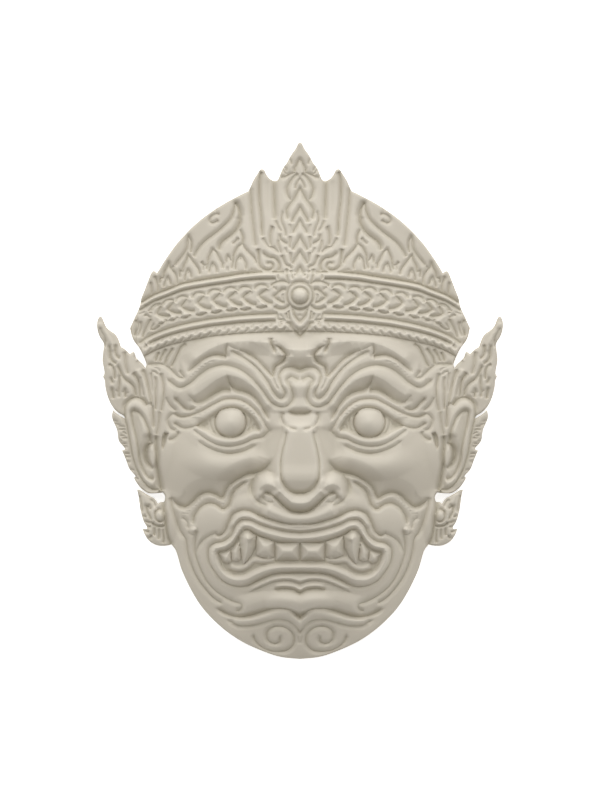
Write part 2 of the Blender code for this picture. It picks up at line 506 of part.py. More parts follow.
def band(relief):
    # The crown band stands proud of the brow.
    low = band_line(0.0, 0, 164)
    high = band_line(1.0, 0, 164)
    relief.plate(np.vstack([low[::-1], low[:1] * [-1, 1] + [-20, 0], high[:1] * [-1, 1] + [-20, 0],
            high]), 2.6, 2.4)
    # Rounded mouldings along both edges, then the grooves between them.
    for part, height, start in ((0.24, 1.6, 24), (0.94, 1.6, 24), (0.09, 1.2, 10)):
        relief.swell(band_line(part, start, 156), height, 3.2, (3, 2))
    cut = relief.cut
    cut(band_line(0.0, 7.5, 154), 1.4, 3.4)
    cut(band_line(0.178, 24, 150), 3.0, 3.6, (1, 0))
    cut(band_line(0.30, 22, 160), 3.2, 4.2, (1, 0))
    cut(band_line(0.885, 24, 160), 3.2, 3.8, (1, 0))
    cut(band_line(1.0, 44, 158), 3.2, 3.8, (2, 0))
    cut([(36.5, 388), (41, 387.6), (46, 387.3)], 2.6, 3.4, (2, 0))
    cut([(28.5, 387.8), (24, 388), (20.5, 387.4), (15.3, 386.7)], 2.6, 3.2, (1, 1))
    rope(relief)
    chain(relief)
    end_piece(relief)
    medallion(relief)


def rope(relief):
    x, gap = 15.3, 9.4
    while x < 152:
        lo, h = band_low(x), band_high(x) - band_low(x)
        # A slanted mark over each turn and a small notch at its foot.
        relief.cut([(x + 2.6, lo + 0.15 * h), (x + 4.2, lo + 0.115 * h), (x + 5.4, lo + 0.07 * h)],
                1.9, 3.0, (1, 1))
        relief.cut([(x - 0.6, lo + 0.065 * h), (x + 0.6, lo + 0.035 * h),
                (x + 1.6, lo + 0.02 * h)], 2.2, 2.6)
        x += gap if x < 105 else 8.2


def chain(relief):
    # One link, measured from the point of its fold.
    arc = [(5.2, 6.5), (2.8, 9.3), (-0.5, 11.2), (-4, 11.2), (-7.5, 9.8), (-9.6, 7.4)]
    fold = [(-8.8, 7.3), (-4.6, 4.4), (-0.6, 0.5), (-2.2, -1.7), (-6.2, -4.9), (-10.3, -6.9),
            (-14, -7.2)]
    lobe = [(3.5, -10.3), (0.5, -12), (-3, -12.2), (-6.3, -11), (-8, -9.6)]
    links = [(40.9, 363.8, 0), (57.2, 361.7, -2), (71.6, 360.8, -4), (87, 358.6, -7),
            (102.5, 356, -9),
             (118.8, 352.6, -14), (131.8, 349.5, -18), (142.8, 345.4, -24)]
    for i, (x, y, turn) in enumerate(links):
        cs, sn = math.cos(math.radians(turn)), math.sin(math.radians(turn))
        size = 1.0 if i < 4 else 1.0 - 0.035 * (i - 3)
        for run, depth, width in ((arc, 2.7, 3.4), (fold, 3.0, 3.8), (lobe, 2.4, 3.0)):
            relief.cut([(x + size * (u * cs - v * sn),
                    y + size * (u * sn + v * cs)) for u, v in run], depth, width, (1, 1))
        relief.mound(x - 7.5, y + 8.0, 5.5, 3.4, 1.4, -20 + turn, 1)
        relief.mound(x - 2.5, y - 8.6, 5.0, 2.8, 1.2, -15 + turn, 1)
        relief.swell([(x + 1.5, y - 0.5), (x - 4, y - 6.5), (x - 9, y - 9)], 1.0, 2.6, (1, 2))


def end_piece(relief):
    cut = relief.cut
    cut([(151.8, 347.9), (148.9, 351.1), (145.3, 353.6), (140.3, 354.5)], 2.4, 2.8, (1, 1))
    cut([(151.5, 347.2), (147.4, 347)], 2.0, 2.4, (1, 1))
    cut([(160.5, 346.2), (156, 347.6)], 1.8, 2.4)
    cut([(156.4, 343.8), (153.9, 344.7), (150.2, 342.4)], 2.2, 2.6, (1, 0))
    cut([(148.9, 341.3), (151, 336.9), (153.9, 331.1), (156, 326.9), (157.5, 321.6)],
            2.8, 3.4, (1, 1))
    cut([(160.3, 338.6), (158.9, 334), (160.3, 328.3), (162.4, 323.3)], 2.4, 3.2, (1, 1))
    cut([(164.7, 340), (162.1, 336.1), (162.3, 331.1), (164.2, 327.6), (165.4, 323.8)],
            2.4, 2.8, (1, 1))
    cut([(150.3, 331.1), (146.7, 330.3), (143.1, 331.5), (139.6, 335.4), (136.7, 337.8)],
            2.6, 3.0, (1, 1))
    cut([(146.6, 335.6), (149, 331.7)], 2.2, 2.6)


def medallion(relief):
    cut = relief.cut
    def ring(radius, count=19):
        return [(radius * math.sin(a),
                364 + radius * math.cos(a)) for a in np.linspace(0, math.pi, count)]
    relief.mound(0, 364, 13.5, 13.5, 3.2, 0, 0.6)
    cut(ring(13.2), 2.6, 3.0)
    cut([(0, 378.2), (4.5, 377.8), (8, 376)], 2.4, 3.0)
    cut([(0, 350), (4.5, 350.8), (8, 352.8)], 2.8, 3.4)
    cut(ring(8.5), 3.0, 3.8)
    relief.mound(0, 364.5, 8, 8, 3.4, 0, 0.9)
    # Side petal, with the lobes over and under it.
    cut([(13.6, 370), (17, 370.3), (21, 368), (24, 364.9), (25.7, 363.6), (24, 361.3), (21, 359.3),
            (18, 357.7), (14.8, 357.3)], 3.0, 3.6, (1, 1))
    cut([(16.8, 366.5), (17.8, 362.5), (16.4, 359.5)], 1.6, 2.6, (1, 1))
    cut([(29.2, 373.6), (27.6, 375.4), (24.5, 377.2), (20, 378.4), (14, 378.1), (9.8, 375.8)],
            2.8, 3.2, (1, 1))
    cut([(27.4, 373.1), (24.6, 371.4), (23, 369)], 2.2, 2.8, (1, 1))
    cut([(26.6, 353.6), (23.5, 351.8), (20.5, 350.7), (15.5, 351.2), (12.4, 353), (10.6, 355.7)],
            3.0, 3.8, (2, 1))
    # Drop over the petal and leaf under it.
    cut([(21.6, 386), (22.3, 382.5), (21, 379.4)], 2.0, 2.6, (1, 1))
    cut([(23.6, 346.4), (22.6, 343.5), (22.2, 340.8), (18.5, 340.2), (15, 340.6)], 2.2, 2.8, (1, 1))
    cut([(13.8, 347.4), (13.2, 343.8), (12, 340.3)], 2.2, 2.8, (1, 1))
    cut([(19.6, 344.6), (17.8, 342.8)], 1.8, 2.6)
    cut([(19, 338.2), (15.2, 339.4)], 2.0, 2.4)
    # Pendant.
    relief.swell([(9, 349), (8.3, 343.5), (4.5, 337.5), (0, 333)], 1.6, 3.2, (1, 0))
    cut([(6.9, 351.6), (6.2, 347), (4.2, 342.8), (0, 338)], 2.8, 3.4, (1, 0))
    cut([(0, 345), (2, 343.6)], 1.8, 2.6)
    cut([(12.4, 336.8), (9.8, 336.2), (8.7, 333.6), (7, 331), (4, 327.8), (2, 325.4), (0, 323.8)],
            3.0, 3.4)
    cut([(11.2, 349.5), (11, 344), (10, 339.6)], 2.4, 2.8, (1, 1))
    cut([(0, 331.2), (1.8, 330), (3.6, 331.8)], 1.8, 2.4)
    cut([(0, 328.4), (0, 326.6)], 1.4, 2.2)


def crown(relief):
    cut = relief.cut
    relief.mound(0, 428, 22, 84, 3, 0, 1)
    # Finial leaf with its notched edge and small inner flame.
    cut([(0, 500.5), (2, 498), (4, 494), (5.6, 490.8), (5.2, 487.8)], 2.6, 3.4, (0, 1))
    cut([(19.5, 482.3), (15.5, 482.8), (12, 484.6), (8, 486.3), (4.5, 487.6)], 2.4, 3.2, (1, 1))
    cut([(13, 485), (15.2, 487.5), (16.6, 489.5)], 1.8, 2.2, (1, 0))
    cut([(8.2, 495), (9, 498.5), (10.8, 501.5)], 2.0, 2.4, (1, 0))
    cut([(13.2, 488.5), (14.2, 491), (15.6, 492.6)], 2.0, 2.2, (1, 0))
    # Lobed drop under the finial.
    cut([(1.5, 486.2), (5, 484), (8.3, 480.3), (11, 476), (13, 471.5), (12.9, 467), (11.5, 463),
            (8.8, 459.3)], 2.8, 4.2, (1, 1))
    cut([(0, 481), (2, 478.5), (4, 474.5), (4.5, 470.8)], 2.4, 3.2, (0, 1))
    # Nested leaves down the middle.
    cut([(0, 471.7), (3, 466), (6, 460.5), (9, 456.5), (12, 452.5), (13.6, 449), (13.2, 445),
            (12, 440.5)], 3.0, 4.6, (0, 1))
    cut([(0, 452.5), (2, 449), (4.5, 445), (7, 441), (8.2, 437.3)], 3.0, 4.2, (0, 1))
    cut([(0, 439.5), (3, 434), (6, 429.5), (7.3, 426.3)], 2.8, 4.0, (0, 1))
    cut([(0, 422.5), (3, 417), (6, 412.5), (7.4, 409.3)], 2.8, 4.0, (0, 1))
    cut([(0, 408), (3, 403.5), (6, 399), (7.9, 395.8)], 2.8, 4.0, (0, 1))
    cut([(0, 392.5), (3, 387.5), (5.8, 383.8)], 2.8, 3.8, (0, 1))
    # Flame border of the middle leaf.
    cut([(17, 447.3), (18.6, 442), (18.3, 437), (16.5, 433), (14.7, 428), (14, 423.3)],
            2.4, 3.2, (0, 1))
    cut([(24.2, 438.5), (21.5, 432.5), (18.3, 428.3)], 2.4, 3.0, (0, 1))
    cut([(10.2, 436), (9.4, 430), (9.8, 425)], 1.6, 3.0, (1, 1))
    cut([(20, 424), (20, 421), (17, 418.3), (14, 416.6), (12.3, 415.8)], 2.6, 3.2, (0, 1))
    cut([(10.4, 424), (10, 419), (10.6, 414.5), (9.4, 411.5)], 2.2, 3.0, (1, 1))
    cut([(20.8, 420.5), (21.5, 414), (20.2, 409.7), (19, 406.5)], 2.2, 3.0, (1, 1))
    cut([(15, 412.6), (13.8, 409), (12, 406.3)], 1.8, 2.6, (1, 1))
    cut([(18.4, 405), (16.6, 400), (14.7, 396), (12.5, 394), (10, 393.6), (8.3, 390.8)],
            2.6, 3.2, (1, 1))
    cut([(9.8, 408), (9.4, 402), (9, 397.5)], 2.2, 3.0, (1, 1))
    cut([(13.2, 391.5), (13.2, 386), (12.4, 380), (11.6, 375)], 2.4, 3.0, (1, 1))
    cut([(9.4, 390), (8.4, 385), (7, 380.5)], 2.0, 2.6, (1, 1))
    # Outer leaf and its scroll.
    cut([(27, 434), (29.3, 427), (30, 420), (29, 414.2)], 2.6, 3.6, (1, 1))
    cut([(37.6, 422.3), (35.2, 418.5), (32.6, 414.6), (31.2, 412.8)], 2.2, 2.8, (1, 0))
    cut([(30.5, 413.4), (26, 411.6), (22.2, 408.2)], 2.6, 3.4, (1, 0))
    cut([(36.2, 406.2), (33, 403.7), (30, 402.4), (27, 402.1), (23.5, 400.3), (21, 396.5),
            (20.6, 392), (21.8, 388.5)], 3.0, 3.8, (0, 1))
    cut([(32, 396.7), (29.5, 397), (27.3, 395.3), (27, 392.5), (29.5, 390.2), (34, 389.8),
            (38, 391.5), (40.3, 394.5), (41.3, 400), (41.4, 406), (42, 411.5)], 3.0, 3.6, (0, 1))
    cut([(43, 389), (47, 389.5), (50, 391)], 1.6, 2.6, (1, 1))
    # Posts.
    cut([(38.4, 488.5), (40.1, 483.5), (40.8, 475), (40.8, 465), (40.3, 455), (39.3, 448),
            (38.6, 440), (38.3, 430), (37.7, 423.5)], 3.0, 3.8, (1, 1))
    cut([(25.8, 479), (25.8, 465), (25.3, 455), (25.1, 447), (25, 440)], 3.2, 4.6, (0, 2))
    cut([(49.7, 469), (49, 458), (48.3, 448), (47, 436), (45.8, 425), (44.3, 413)],
            2.8, 4.4, (0, 2))
    cut([(32, 481), (32.6, 465), (32.6, 445)], 0.7, 5.0, (3, 6))
    # Tall curved flame.
    cut([(64.8, 457), (65.4, 451.4), (66.9, 447), (68.7, 442.5), (71.4, 438.7), (75.3, 434.8),
            (78.7, 431.4), (82.6, 428.1), (87, 424.8), (91.5, 421.5), (96, 417.8), (99.5, 414),
            (102.5, 410), (105.2, 405.5), (107, 402.2)], 2.9, 3.8, (0, 2))
    cut([(64.8, 457), (61.7, 452.6), (60.1, 448.1), (59.7, 443.1), (60.1, 438.1), (61.7, 433.7),
            (64.4, 429), (68.4, 425), (73, 421.7), (77.6, 418), (80.3, 414.2), (81.5, 408.8)],
            3.1, 4.8, (0, 2), 1.2, 7)
    cut([(80, 445.2), (83.7, 445.9), (87.5, 444.3), (90, 441.5), (90.2, 438.5), (88, 436.6),
            (85, 437.5), (81, 439.8)], 2.2, 2.8, (1, 1))
    cut([(83.6, 446), (84, 449), (84, 452)], 1.4, 2.4, (1, 1))
    # Second flame, with its vein.
    cut([(59.9, 429.6), (58.2, 426), (57, 422), (57.2, 417.5), (58, 415)], 2.8, 3.4)
    cut([(61.2, 422.3), (64.2, 418.6), (67.8, 415.8)], 2.4, 3.0, (1, 1))
    # Slender flame over the third leaf.
    cut([(111.4, 423.6), (112.4, 418.6), (112.7, 413.6), (115.1, 407.4), (118.3, 403),
            (122, 398.6), (125.4, 394.3)], 2.6, 3.2, (0, 1))
    cut([(111.2, 423), (109.2, 419.3), (108.5, 414.3), (109.2, 407)], 2.6, 3.0, (0, 1))
    flame_row(relief)


def flame_row(relief):
    cut = relief.cut
    # Each leaf: outer side, inner side, then the arch round its drop.
    leaves = [
        [[(57.5, 416), (62, 413.1), (64.4, 409.2), (66.5, 404.2), (67, 397.3), (68.5, 391)],
         [(57.5, 416), (55.6, 412.8), (53, 409.2), (49.2, 405.3), (45, 401), (43.2, 396)],
         [(64.4, 389.5), (64.4, 395.3), (62.6, 400.6), (59.2, 403.9), (56, 400), (54, 394.8),
                 (53.8, 389.5)]],
        [[(87.3, 410.4), (89.6, 406), (91.6, 401), (92.4, 396), (93.6, 390)],
         [(87.3, 410.4), (84, 408.2), (82, 404.2), (79.8, 399.8), (77.8, 396.6), (77, 391)],
         [(91, 386.5), (90, 391.8), (87.4, 396.3), (84.3, 392.6), (82.8, 387)]],
        [[(112, 404.8), (113.9, 398.6), (116.5, 393.6), (117.5, 388.3), (119.6, 388.8),
                (120.4, 382)],
         [(112, 404.8), (108.2, 399.9), (104.5, 394.9), (101.4, 390.5), (100, 385)],
         [(115.3, 378.5), (115, 383), (113.5, 387.4), (111.7, 390), (109.5, 386.6),
                 (108.6, 381.5)]],
        [[(131.2, 397), (133.3, 391.8), (135.8, 387.4), (136.8, 381.8), (139.4, 381.3),
                (140.3, 376)],
         [(131.2, 397), (130.4, 393), (127.6, 389.9), (124.5, 385.5), (123, 380.5), (123.2, 375)],
         [(136.2, 372.3), (134.9, 377.4), (132.4, 382.6), (130.1, 378.6), (128.9, 374.5)]]]
    for outer, inner, arch in leaves:
        cut(outer, 2.7, 3.2, (0, 1))
        cut(inner, 2.7, 3.2, (0, 1))
        cut(arch, 2.5, 2.8, (1, 1))
        top = arch[len(arch) // 2]
        cut([top, (top[0] + 0.3, top[1] - 3)], 2.6, 3.0)
    # Small buds between the leaves.
    cut([(74.2, 396.5), (73.5, 401), (72, 404.3), (70, 401), (67, 397.6)], 2.4, 2.8, (1, 0))
    cut([(78, 397), (75.3, 396.2)], 2.0, 2.6)
    cut([(72.5, 393.5), (72, 388)], 1.6, 2.4, (1, 1))
    cut([(99, 398.5), (96.3, 395), (93.2, 394.4)], 2.4, 2.8, (1, 0))
    cut([(96.6, 394), (97.2, 389)], 1.8, 2.4, (0, 1))
    cut([(128.4, 391.6), (126.5, 393.5)], 2.2, 2.6)
    # Last leaf, at the end of the band.
    cut([(145.4, 384), (143.2, 378.6), (141.8, 373), (142, 367)], 2.4, 3.0, (1, 1))
    cut([(149.4, 378), (149, 373.6), (148.2, 369.8), (148.6, 364)], 2.2, 2.6, (1, 1))


def ear(relief):
    cut = relief.cut
    # Groove between the face and the ear.
    cut([(143.6, 226), (144.2, 215), (143.4, 205), (143.2, 196), (141.8, 187), (140.4, 178),
            (138.6, 169)], 4.2, 4.8, (4, 1))
    cut([(140, 250), (141, 241), (142.4, 232), (143.8, 224)], 2.4, 3.4, (3, 2))
    cut([(147.2, 256), (147, 247), (146.6, 239), (146.4, 231)], 2.8, 3.4, (3, 3))
    # Rim of the ear, with its outer and inner grooves.
    relief.swell([(152, 222), (154.5, 238), (159, 250), (166, 255), (171, 250), (170.5, 238),
            (167.5, 222), (164, 205), (158.5, 188), (151, 177), (144, 175)], 2.6, 6.5, (6, 4))
    cut([(149.6, 217), (150, 223), (150.8, 229), (152.8, 234), (155.2, 239.5), (158, 244),
            (161, 247), (164.6, 248.8), (168, 248.2), (167.6, 241), (166, 232), (163.6, 222),
            (162, 214), (161, 207), (159.8, 200), (158.2, 194), (155.4, 187.6), (152, 183),
            (149, 181.2), (145.8, 181)], 3.2, 3.8, (1, 1))
    cut([(152.5, 254.5), (155.5, 258.5), (160, 261.6), (164.5, 262.4), (168.6, 261.2),
            (172.6, 258), (175, 253.6), (175.6, 247), (174.8, 240), (173, 234), (172, 228),
            (170.6, 221), (169, 213), (167.6, 205), (165.4, 197), (163, 190), (159.6, 183),
            (155.6, 177), (151, 172.4), (146, 170.2), (140.5, 170.4)], 3.2, 3.8, (1, 1))
    # Bowl of the ear with the lobe that stands in it.
    relief.mound(155, 206, 9, 26, -3.5, 10, 1)
    relief.mound(147.6, 204, 5.0, 13, 3.6, -4, 0.8)
    cut([(146.4, 216.6), (150, 216), (152.8, 213), (154.6, 208), (154.4, 203), (152.6, 198),
            (149.6, 194), (146.4, 191.4)], 3.6, 3.8, (1, 1))
    cut([(147.4, 210), (147, 203), (146.2, 196)], 1.2, 2.2, (2, 2))
    # Flames above the ear.
    cut([(190.4, 313), (190, 308), (189.8, 303), (188, 299), (185.8, 297.4), (183.6, 295.6)],
            3.0, 3.4, (0, 1))
    cut([(183.9, 316), (184.6, 311), (184.2, 306), (182.6, 303), (180, 301)], 2.8, 3.2, (2, 1))
    cut([(175.4, 309), (174.6, 303), (174.6, 298), (174, 293), (173, 289), (171.6, 285)],
            2.6, 4.0, (2, 2))
    cut([(191.8, 295.6), (188.2, 294), (186, 290), (185.2, 285), (185.4, 280.5)], 2.8, 3.2, (1, 1))
    cut([(181.8, 292.8), (180, 289), (178.4, 285), (176, 281.6), (173, 279), (170, 277),
            (167.4, 274.4), (165.4, 271), (164.4, 267), (163.8, 263.6)], 3.0, 3.6, (0, 1))
    cut([(180, 285.4), (180.4, 279), (180.8, 273), (181.4, 268), (180.8, 262)], 2.6, 3.0, (1, 2))
    cut([(167.2, 287.2), (164.6, 284), (162.4, 281), (161, 277), (160.4, 272), (160.4, 266),
            (160, 262)], 2.8, 3.4, (1, 1))
    cut([(188, 270.6), (187.2, 266), (186.4, 261)], 3.0, 3.2, (0, 1))
    cut([(175.2, 270), (174.8, 266), (174.4, 262)], 2.8, 3.0, (0, 1))
    cut([(177, 268), (172.8, 267)], 2.2, 2.4)
    cut([(188.8, 281), (187.6, 277.4)], 2.8, 2.8)
    cut([(183.2, 269), (181.6, 267.4)], 2.4, 2.6)
    cut([(200.4, 333), (198.4, 328), (195.6, 323.4), (194.4, 318), (195.2, 312)], 2.2, 3.2, (2, 2))
    relief.swell([(200.6, 338), (198, 330), (193.6, 324), (189.6, 318), (187.6, 308)],
            1.6, 3.6, (2, 3))
    relief.swell([(162.4, 292), (159.8, 284), (156, 276), (153, 266), (150.6, 256)],
            1.8, 3.4, (3, 2))
    cut([(157.2, 291), (154.6, 284), (152.4, 276), (150.6, 267), (149.2, 260), (148.6, 253)],
            2.6, 3.4, (2, 1))
    cut([(160.4, 284), (158.4, 277), (157.4, 270), (157.2, 263)], 1.6, 3.0, (2, 2))
    # Strands between the temple and the ear.
    cut([(148.8, 287.4), (146.4, 288.2), (144, 287), (141.4, 284.4)], 2.0, 2.6, (1, 2))
    cut([(148.8, 287.6), (148.6, 281), (148, 274), (147.8, 266)], 1.8, 3.0, (1, 3))
    cut([(145, 284.6), (144, 276), (144.8, 268), (144.4, 258), (144.6, 249)], 2.4, 3.0, (3, 2))
    cut([(139.8, 287.2), (137.2, 278), (136.4, 266), (137.6, 255), (139.6, 247)], 2.6, 3.6, (2, 3))
    cut([(152, 296.2), (148, 294.8), (140, 295.4)], 2.6, 2.8, (1, 1))
    cut([(147.2, 293), (142, 290.8), (140, 288)], 1.4, 2.2, (1, 1))
    # Small notches down the outer edge.
    for y, x0, x1, drop in ((239.4, 186.6, 183.4, 1.2), (236.2, 184.4, 181, 1.4),
            (233.4, 180.4, 174.8, 0.2),
                            (230.4, 180, 174.6, 0), (227.6, 176.8, 172, 2.6),
                                (224.2, 178.4, 176.4, 0),
                            (221.6, 177, 171.8, -0.4), (219, 180.6, 178.4, 0.4),
                                (216.6, 178.6, 174.6, 0.6),
                            (213.6, 176.4, 173, 0.2), (206.4, 175.2, 170.6, 0.2),
                                (203, 175.6, 169.8, 0),
                            (198.8, 172.8, 171, 1), (190.4, 169.4, 166, 0.6),
                                (181.8, 164.4, 162, 0.6)):
        cut([(x0, y), ((x0 + x1) / 2, y - drop * 0.4), (x1, y - drop)], 2.0, 2.3)
    cut([(178.2, 210.2), (177.2, 206), (175.6, 202)], 1.6, 2.2)


def earring(relief):
    cut = relief.cut
    cut([(140.8, 170), (139.2, 164), (137, 158), (136.4, 150), (135.2, 144), (134.6, 138),
            (133.8, 132), (132.8, 126), (131, 120), (129, 116.6)], 3.6, 4.2, (1, 0))
    # Round knob, with the ring that holds it.
    relief.mound(140, 144.4, 5.4, 6.4, 4.0, 0, 0.8)
    cut([(136.6, 139.6), (138.6, 138.2), (141.6, 138.4), (144, 141), (144.8, 144.6), (144.4, 148),
            (142, 150), (138.8, 150), (136.2, 148.2)], 2.6, 2.8, (1, 1))
    relief.swell([(136, 137.6), (139.6, 136.2), (143, 136.8), (145.6, 139.8), (146.6, 144),
            (146, 148.6), (144, 152)], 1.8, 2.8, (1, 1))
    cut([(148.4, 137.4), (145.2, 135), (141.4, 133.8), (138, 133.6), (134.8, 134.6)],
            3.2, 3.4, (1, 1))
    for run in ([(145.4, 131.2), (145.4, 127.4), (145.8, 124)], [(141, 130), (141, 125),
            (141.2, 120.4)],
                [(136.8, 129.6), (136.4, 124.6), (136, 120), (137, 116.6)], [(133.8, 130),
                        (132.6, 125), (131.4, 121)],
                [(150.2, 122), (147.6, 124.6)], [(156.8, 131), (154.4, 128.8), (150.2, 128)],
                [(154.6, 135.2), (151.4, 133), (148.4, 133.4)], [(154.4, 138.6), (151, 137.4),
                        (147.6, 137)],
                [(155.8, 143.8), (153, 142.6)], [(149, 141.2), (150.6, 144), (152.4, 147),
                        (153, 151), (153.6, 154.4)],
                [(153.6, 154.2), (150.6, 152.6), (148.6, 151)]):
        cut(run, 2.8, 3.0, (0, 1))
    # Point beside the lobe.
    cut([(160.2, 165), (158.8, 159), (157.6, 152), (157.4, 147)], 2.4, 3.2, (1, 2))
    relief.swell([(156.4, 167), (154.4, 159), (151, 154.6)], 1.6, 3.6, (2, 2))
    cut([(149.6, 160.6), (146.4, 158), (144.4, 153.4)], 1.8, 2.8, (1, 1))


def carve(step=STEP):
    relief = Relief(step)
    masses(relief)
    nose(relief)
    mouth(relief)
    teeth(relief)
    nose_lines(relief)
    chin(relief)
    jaw(relief)
    eye(relief)
    brow(relief)
    band(relief)
    crown(relief)
    ear(relief)
    earring(relief)
    return relief


# Hollow back
HOLLOW_RUN = [(-3, 15), (20, 16.5), (50, 27), (78, 49), (102, 84), (114, 116), (122, 150), (126, 200),
              (127, 250), (131, 286), (141, 312), (148, 332), (143, 356), (126, 388), (98, 419),
              (62, 441), (30, 450), (-3, 452)]


def start_clean():
    for old in list(bpy.data.objects):
        bpy.data.objects.remove(old, do_unlink=True)


def collection(name):
    made = bpy.data.collections.new(name)
    bpy.context.scene.collection.children.link(made)
    return made


def to_metres(points, low):
    """Template units to metres, with the middle of the height at Y = 0 and the back at Z = 0."""
    scale = MASK_HEIGHT / TEMPLATE_HEIGHT
    moved = np.asarray(points, float) - [0.0, low + TEMPLATE_HEIGHT / 2, 0.0]
    return moved * scale


def block(name, xs, ys, heights, floor, low):
    """A fine grid lifted to the heights, its edge drawn down to a flat underside."""
    rows, cols = heights.shape
    made = bmesh.new()
    bmesh.ops.create_grid(made, x_segments=cols - 1, y_segments=rows - 1, size=1)
    for vert in made.verts:
        i = round((vert.co.x + 1) / 2 * (cols - 1))
        j = round((vert.co.y + 1) / 2 * (rows - 1))
        vert.co = to_metres((xs[i], ys[j], heights[j, i]), low)
    border = [edge for edge in made.edges if edge.is_boundary]
    drawn = bmesh.ops.extrude_edge_only(made, edges=border)["geom"]
    sunk = [item for item in drawn if isinstance(item, bmesh.types.BMVert)]
    for vert in sunk:
        vert.co.z = floor * MASK_HEIGHT / TEMPLATE_HEIGHT
    lower = [edge for edge in made.edges if edge.is_boundary]
    bmesh.ops.edgeloop_fill(made, edges=lower)
    bmesh.ops.recalc_face_normals(made, faces=made.faces)
    mesh = bpy.data.meshes.new(name)
    made.to_mesh(mesh)
    made.free()
    return mesh


def prism(name, run, floor, top, low):
    """The outline as a filled curve, thickened, then turned into a mesh."""
    curve = bpy.data.curves.new(name, "CURVE")
    curve.dimensions = "2D"
    curve.fill_mode = "BOTH"
    path = curve.splines.new("POLY")
    path.points.add(len(run) - 1)
    flat = to_metres(np.column_stack([run, np.zeros(len(run))]), low)
    for point, (x, y, _) in zip(path.points, flat):
        point.co = (x, y, 0, 1)
    path.use_cyclic_u = True
    scale = MASK_HEIGHT / TEMPLATE_HEIGHT
    curve.extrude = (top - floor) / 2 * scale
    source = bpy.data.objects.new(name, curve)
    bpy.context.scene.collection.objects.link(source)
    mesh = bpy.data.meshes.new_from_object(source.evaluated_get(bpy.context.evaluated_depsgraph_get()))
    bpy.data.objects.remove(source, do_unlink=True)
    weld = bmesh.new()
    weld.from_mesh(mesh)
    bmesh.ops.remove_doubles(weld, verts=weld.verts, dist=1e-6)
    bmesh.ops.translate(weld, verts=weld.verts, vec=(0, 0, (top + floor) / 2 * scale))
    bmesh.ops.recalc_face_normals(weld, faces=weld.faces)
    weld.to_mesh(mesh)
    weld.free()
    return mesh


def half_outline():
    """The right half of the outline, carried a little past the middle so that halves can meet."""
    runs = [spline(points, 2.0)[:-1] for points in OUTLINE_RUNS]
    run = np.vstack(runs + [np.array([OUTLINE_RUNS[-1][-1]], float)])
    past = 3 * STEP
    return np.vstack([[(-past, run[0, 1])], run, [(-past, run[-1, 1])]])


def roof(relief):
    """Underside of the shell: the plain bulge, lifted inside the nose, less the wall."""
    lift = 10 * np.exp(-((relief.x / 26) ** 2 + ((relief.y - 188) / 34) ** 2))
    return dome(relief.x, relief.y) + lift - WALL


def both_sides(relief, heights):
    """The grid carried three columns past the middle."""
    xs = np.concatenate([-relief.xs[3:0:-1], relief.xs])
    return xs, np.hstack([heights[:, 3:0:-1], heights])


def material():
    made = bpy.data.materials.new("cast_resin")
    made.use_nodes = True
    shader = made.node_tree.nodes["Principled BSDF"]
    shader.inputs["Base Color"].default_value = SURFACE_COLOUR
    shader.inputs["Roughness"].default_value = 0.6
    return made


def boolean(target, cutter, operation):
    made = target.modifiers.new(operation.lower(), "BOOLEAN")
    made.operation = operation
    made.solver = "EXACT"
    made.object = cutter


def drop_flaps(mesh):
    """Thinning out can leave a sliver standing on one edge: a closed skin has no open edge."""
    skin = bmesh.new()
    skin.from_mesh(mesh)
    while True:
        flaps = [face for face in skin.faces if any(edge.is_boundary for edge in face.edges)]
        if not flaps:
            break
        bmesh.ops.delete(skin, geom=flaps, context="FACES")
    skin.to_mesh(mesh)
    skin.free()


def build_mask():
    start_clean()
    shown = collection("khon_mask_parts")
    cutters = collection("cutters")
    cutters.hide_render = True
    outline = half_outline()
    low = outline[:, 1].min()
    relief = carve(STEP)

    xs, heights = both_sides(relief, relief.finished())
    mask = bpy.data.objects.new("khon_mask", block("khon_mask", xs, relief.ys, heights, 0.0, low))
    shown.objects.link(mask)

    edge = bpy.data.objects.new("outline_prism", prism("outline_prism", outline, -6, 130, low))
    xs, under = both_sides(relief, roof(relief))
    under = np.maximum(under, 1.0)
    hollow_top = bpy.data.objects.new(
        "hollow_roof", block("hollow_roof", xs, relief.ys, under, -4.0, low))
    hollow = bpy.data.objects.new(
        "hollow_prism", prism("hollow_prism", spline(HOLLOW_RUN, 4.0), -2, 110, low))
    for cutter in (edge, hollow_top, hollow):
        cutter.hide_render = True
        cutter.display_type = "WIRE"
        cutters.objects.link(cutter)
    boolean(hollow, hollow_top, "INTERSECT")
    boolean(mask, edge, "INTERSECT")
    boolean(mask, hollow, "DIFFERENCE")

    weld = mask.modifiers.new("close_seams", "WELD")
    weld.merge_threshold = 0.00002

    # The share to keep follows from how many triangles the whole half has.
    bpy.context.view_layer.update()
    graph = bpy.context.evaluated_depsgraph_get()
    whole = mask.evaluated_get(graph).to_mesh()
    whole.calc_loop_triangles()
    thin = mask.modifiers.new("thin_out", "DECIMATE")
    thin.ratio = SOLID_TRIANGLES / 2 / len(whole.loop_triangles)
    bpy.context.view_layer.update()
    graph = bpy.context.evaluated_depsgraph_get()
    half = bpy.data.meshes.new_from_object(mask.evaluated_get(graph))
    drop_flaps(half)
    mask.modifiers.clear()
    mask.data = half
    mirror = mask.modifiers.new("other_half", "MIRROR")
    mirror.use_axis[0] = True
    mirror.use_bisect_axis[0] = True
    mirror.bisect_threshold = 0.0000001
    mirror.merge_threshold = 0.0000001
    mask.data.materials.clear()
    mask.data.materials.append(material())


build_mask()
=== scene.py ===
import math

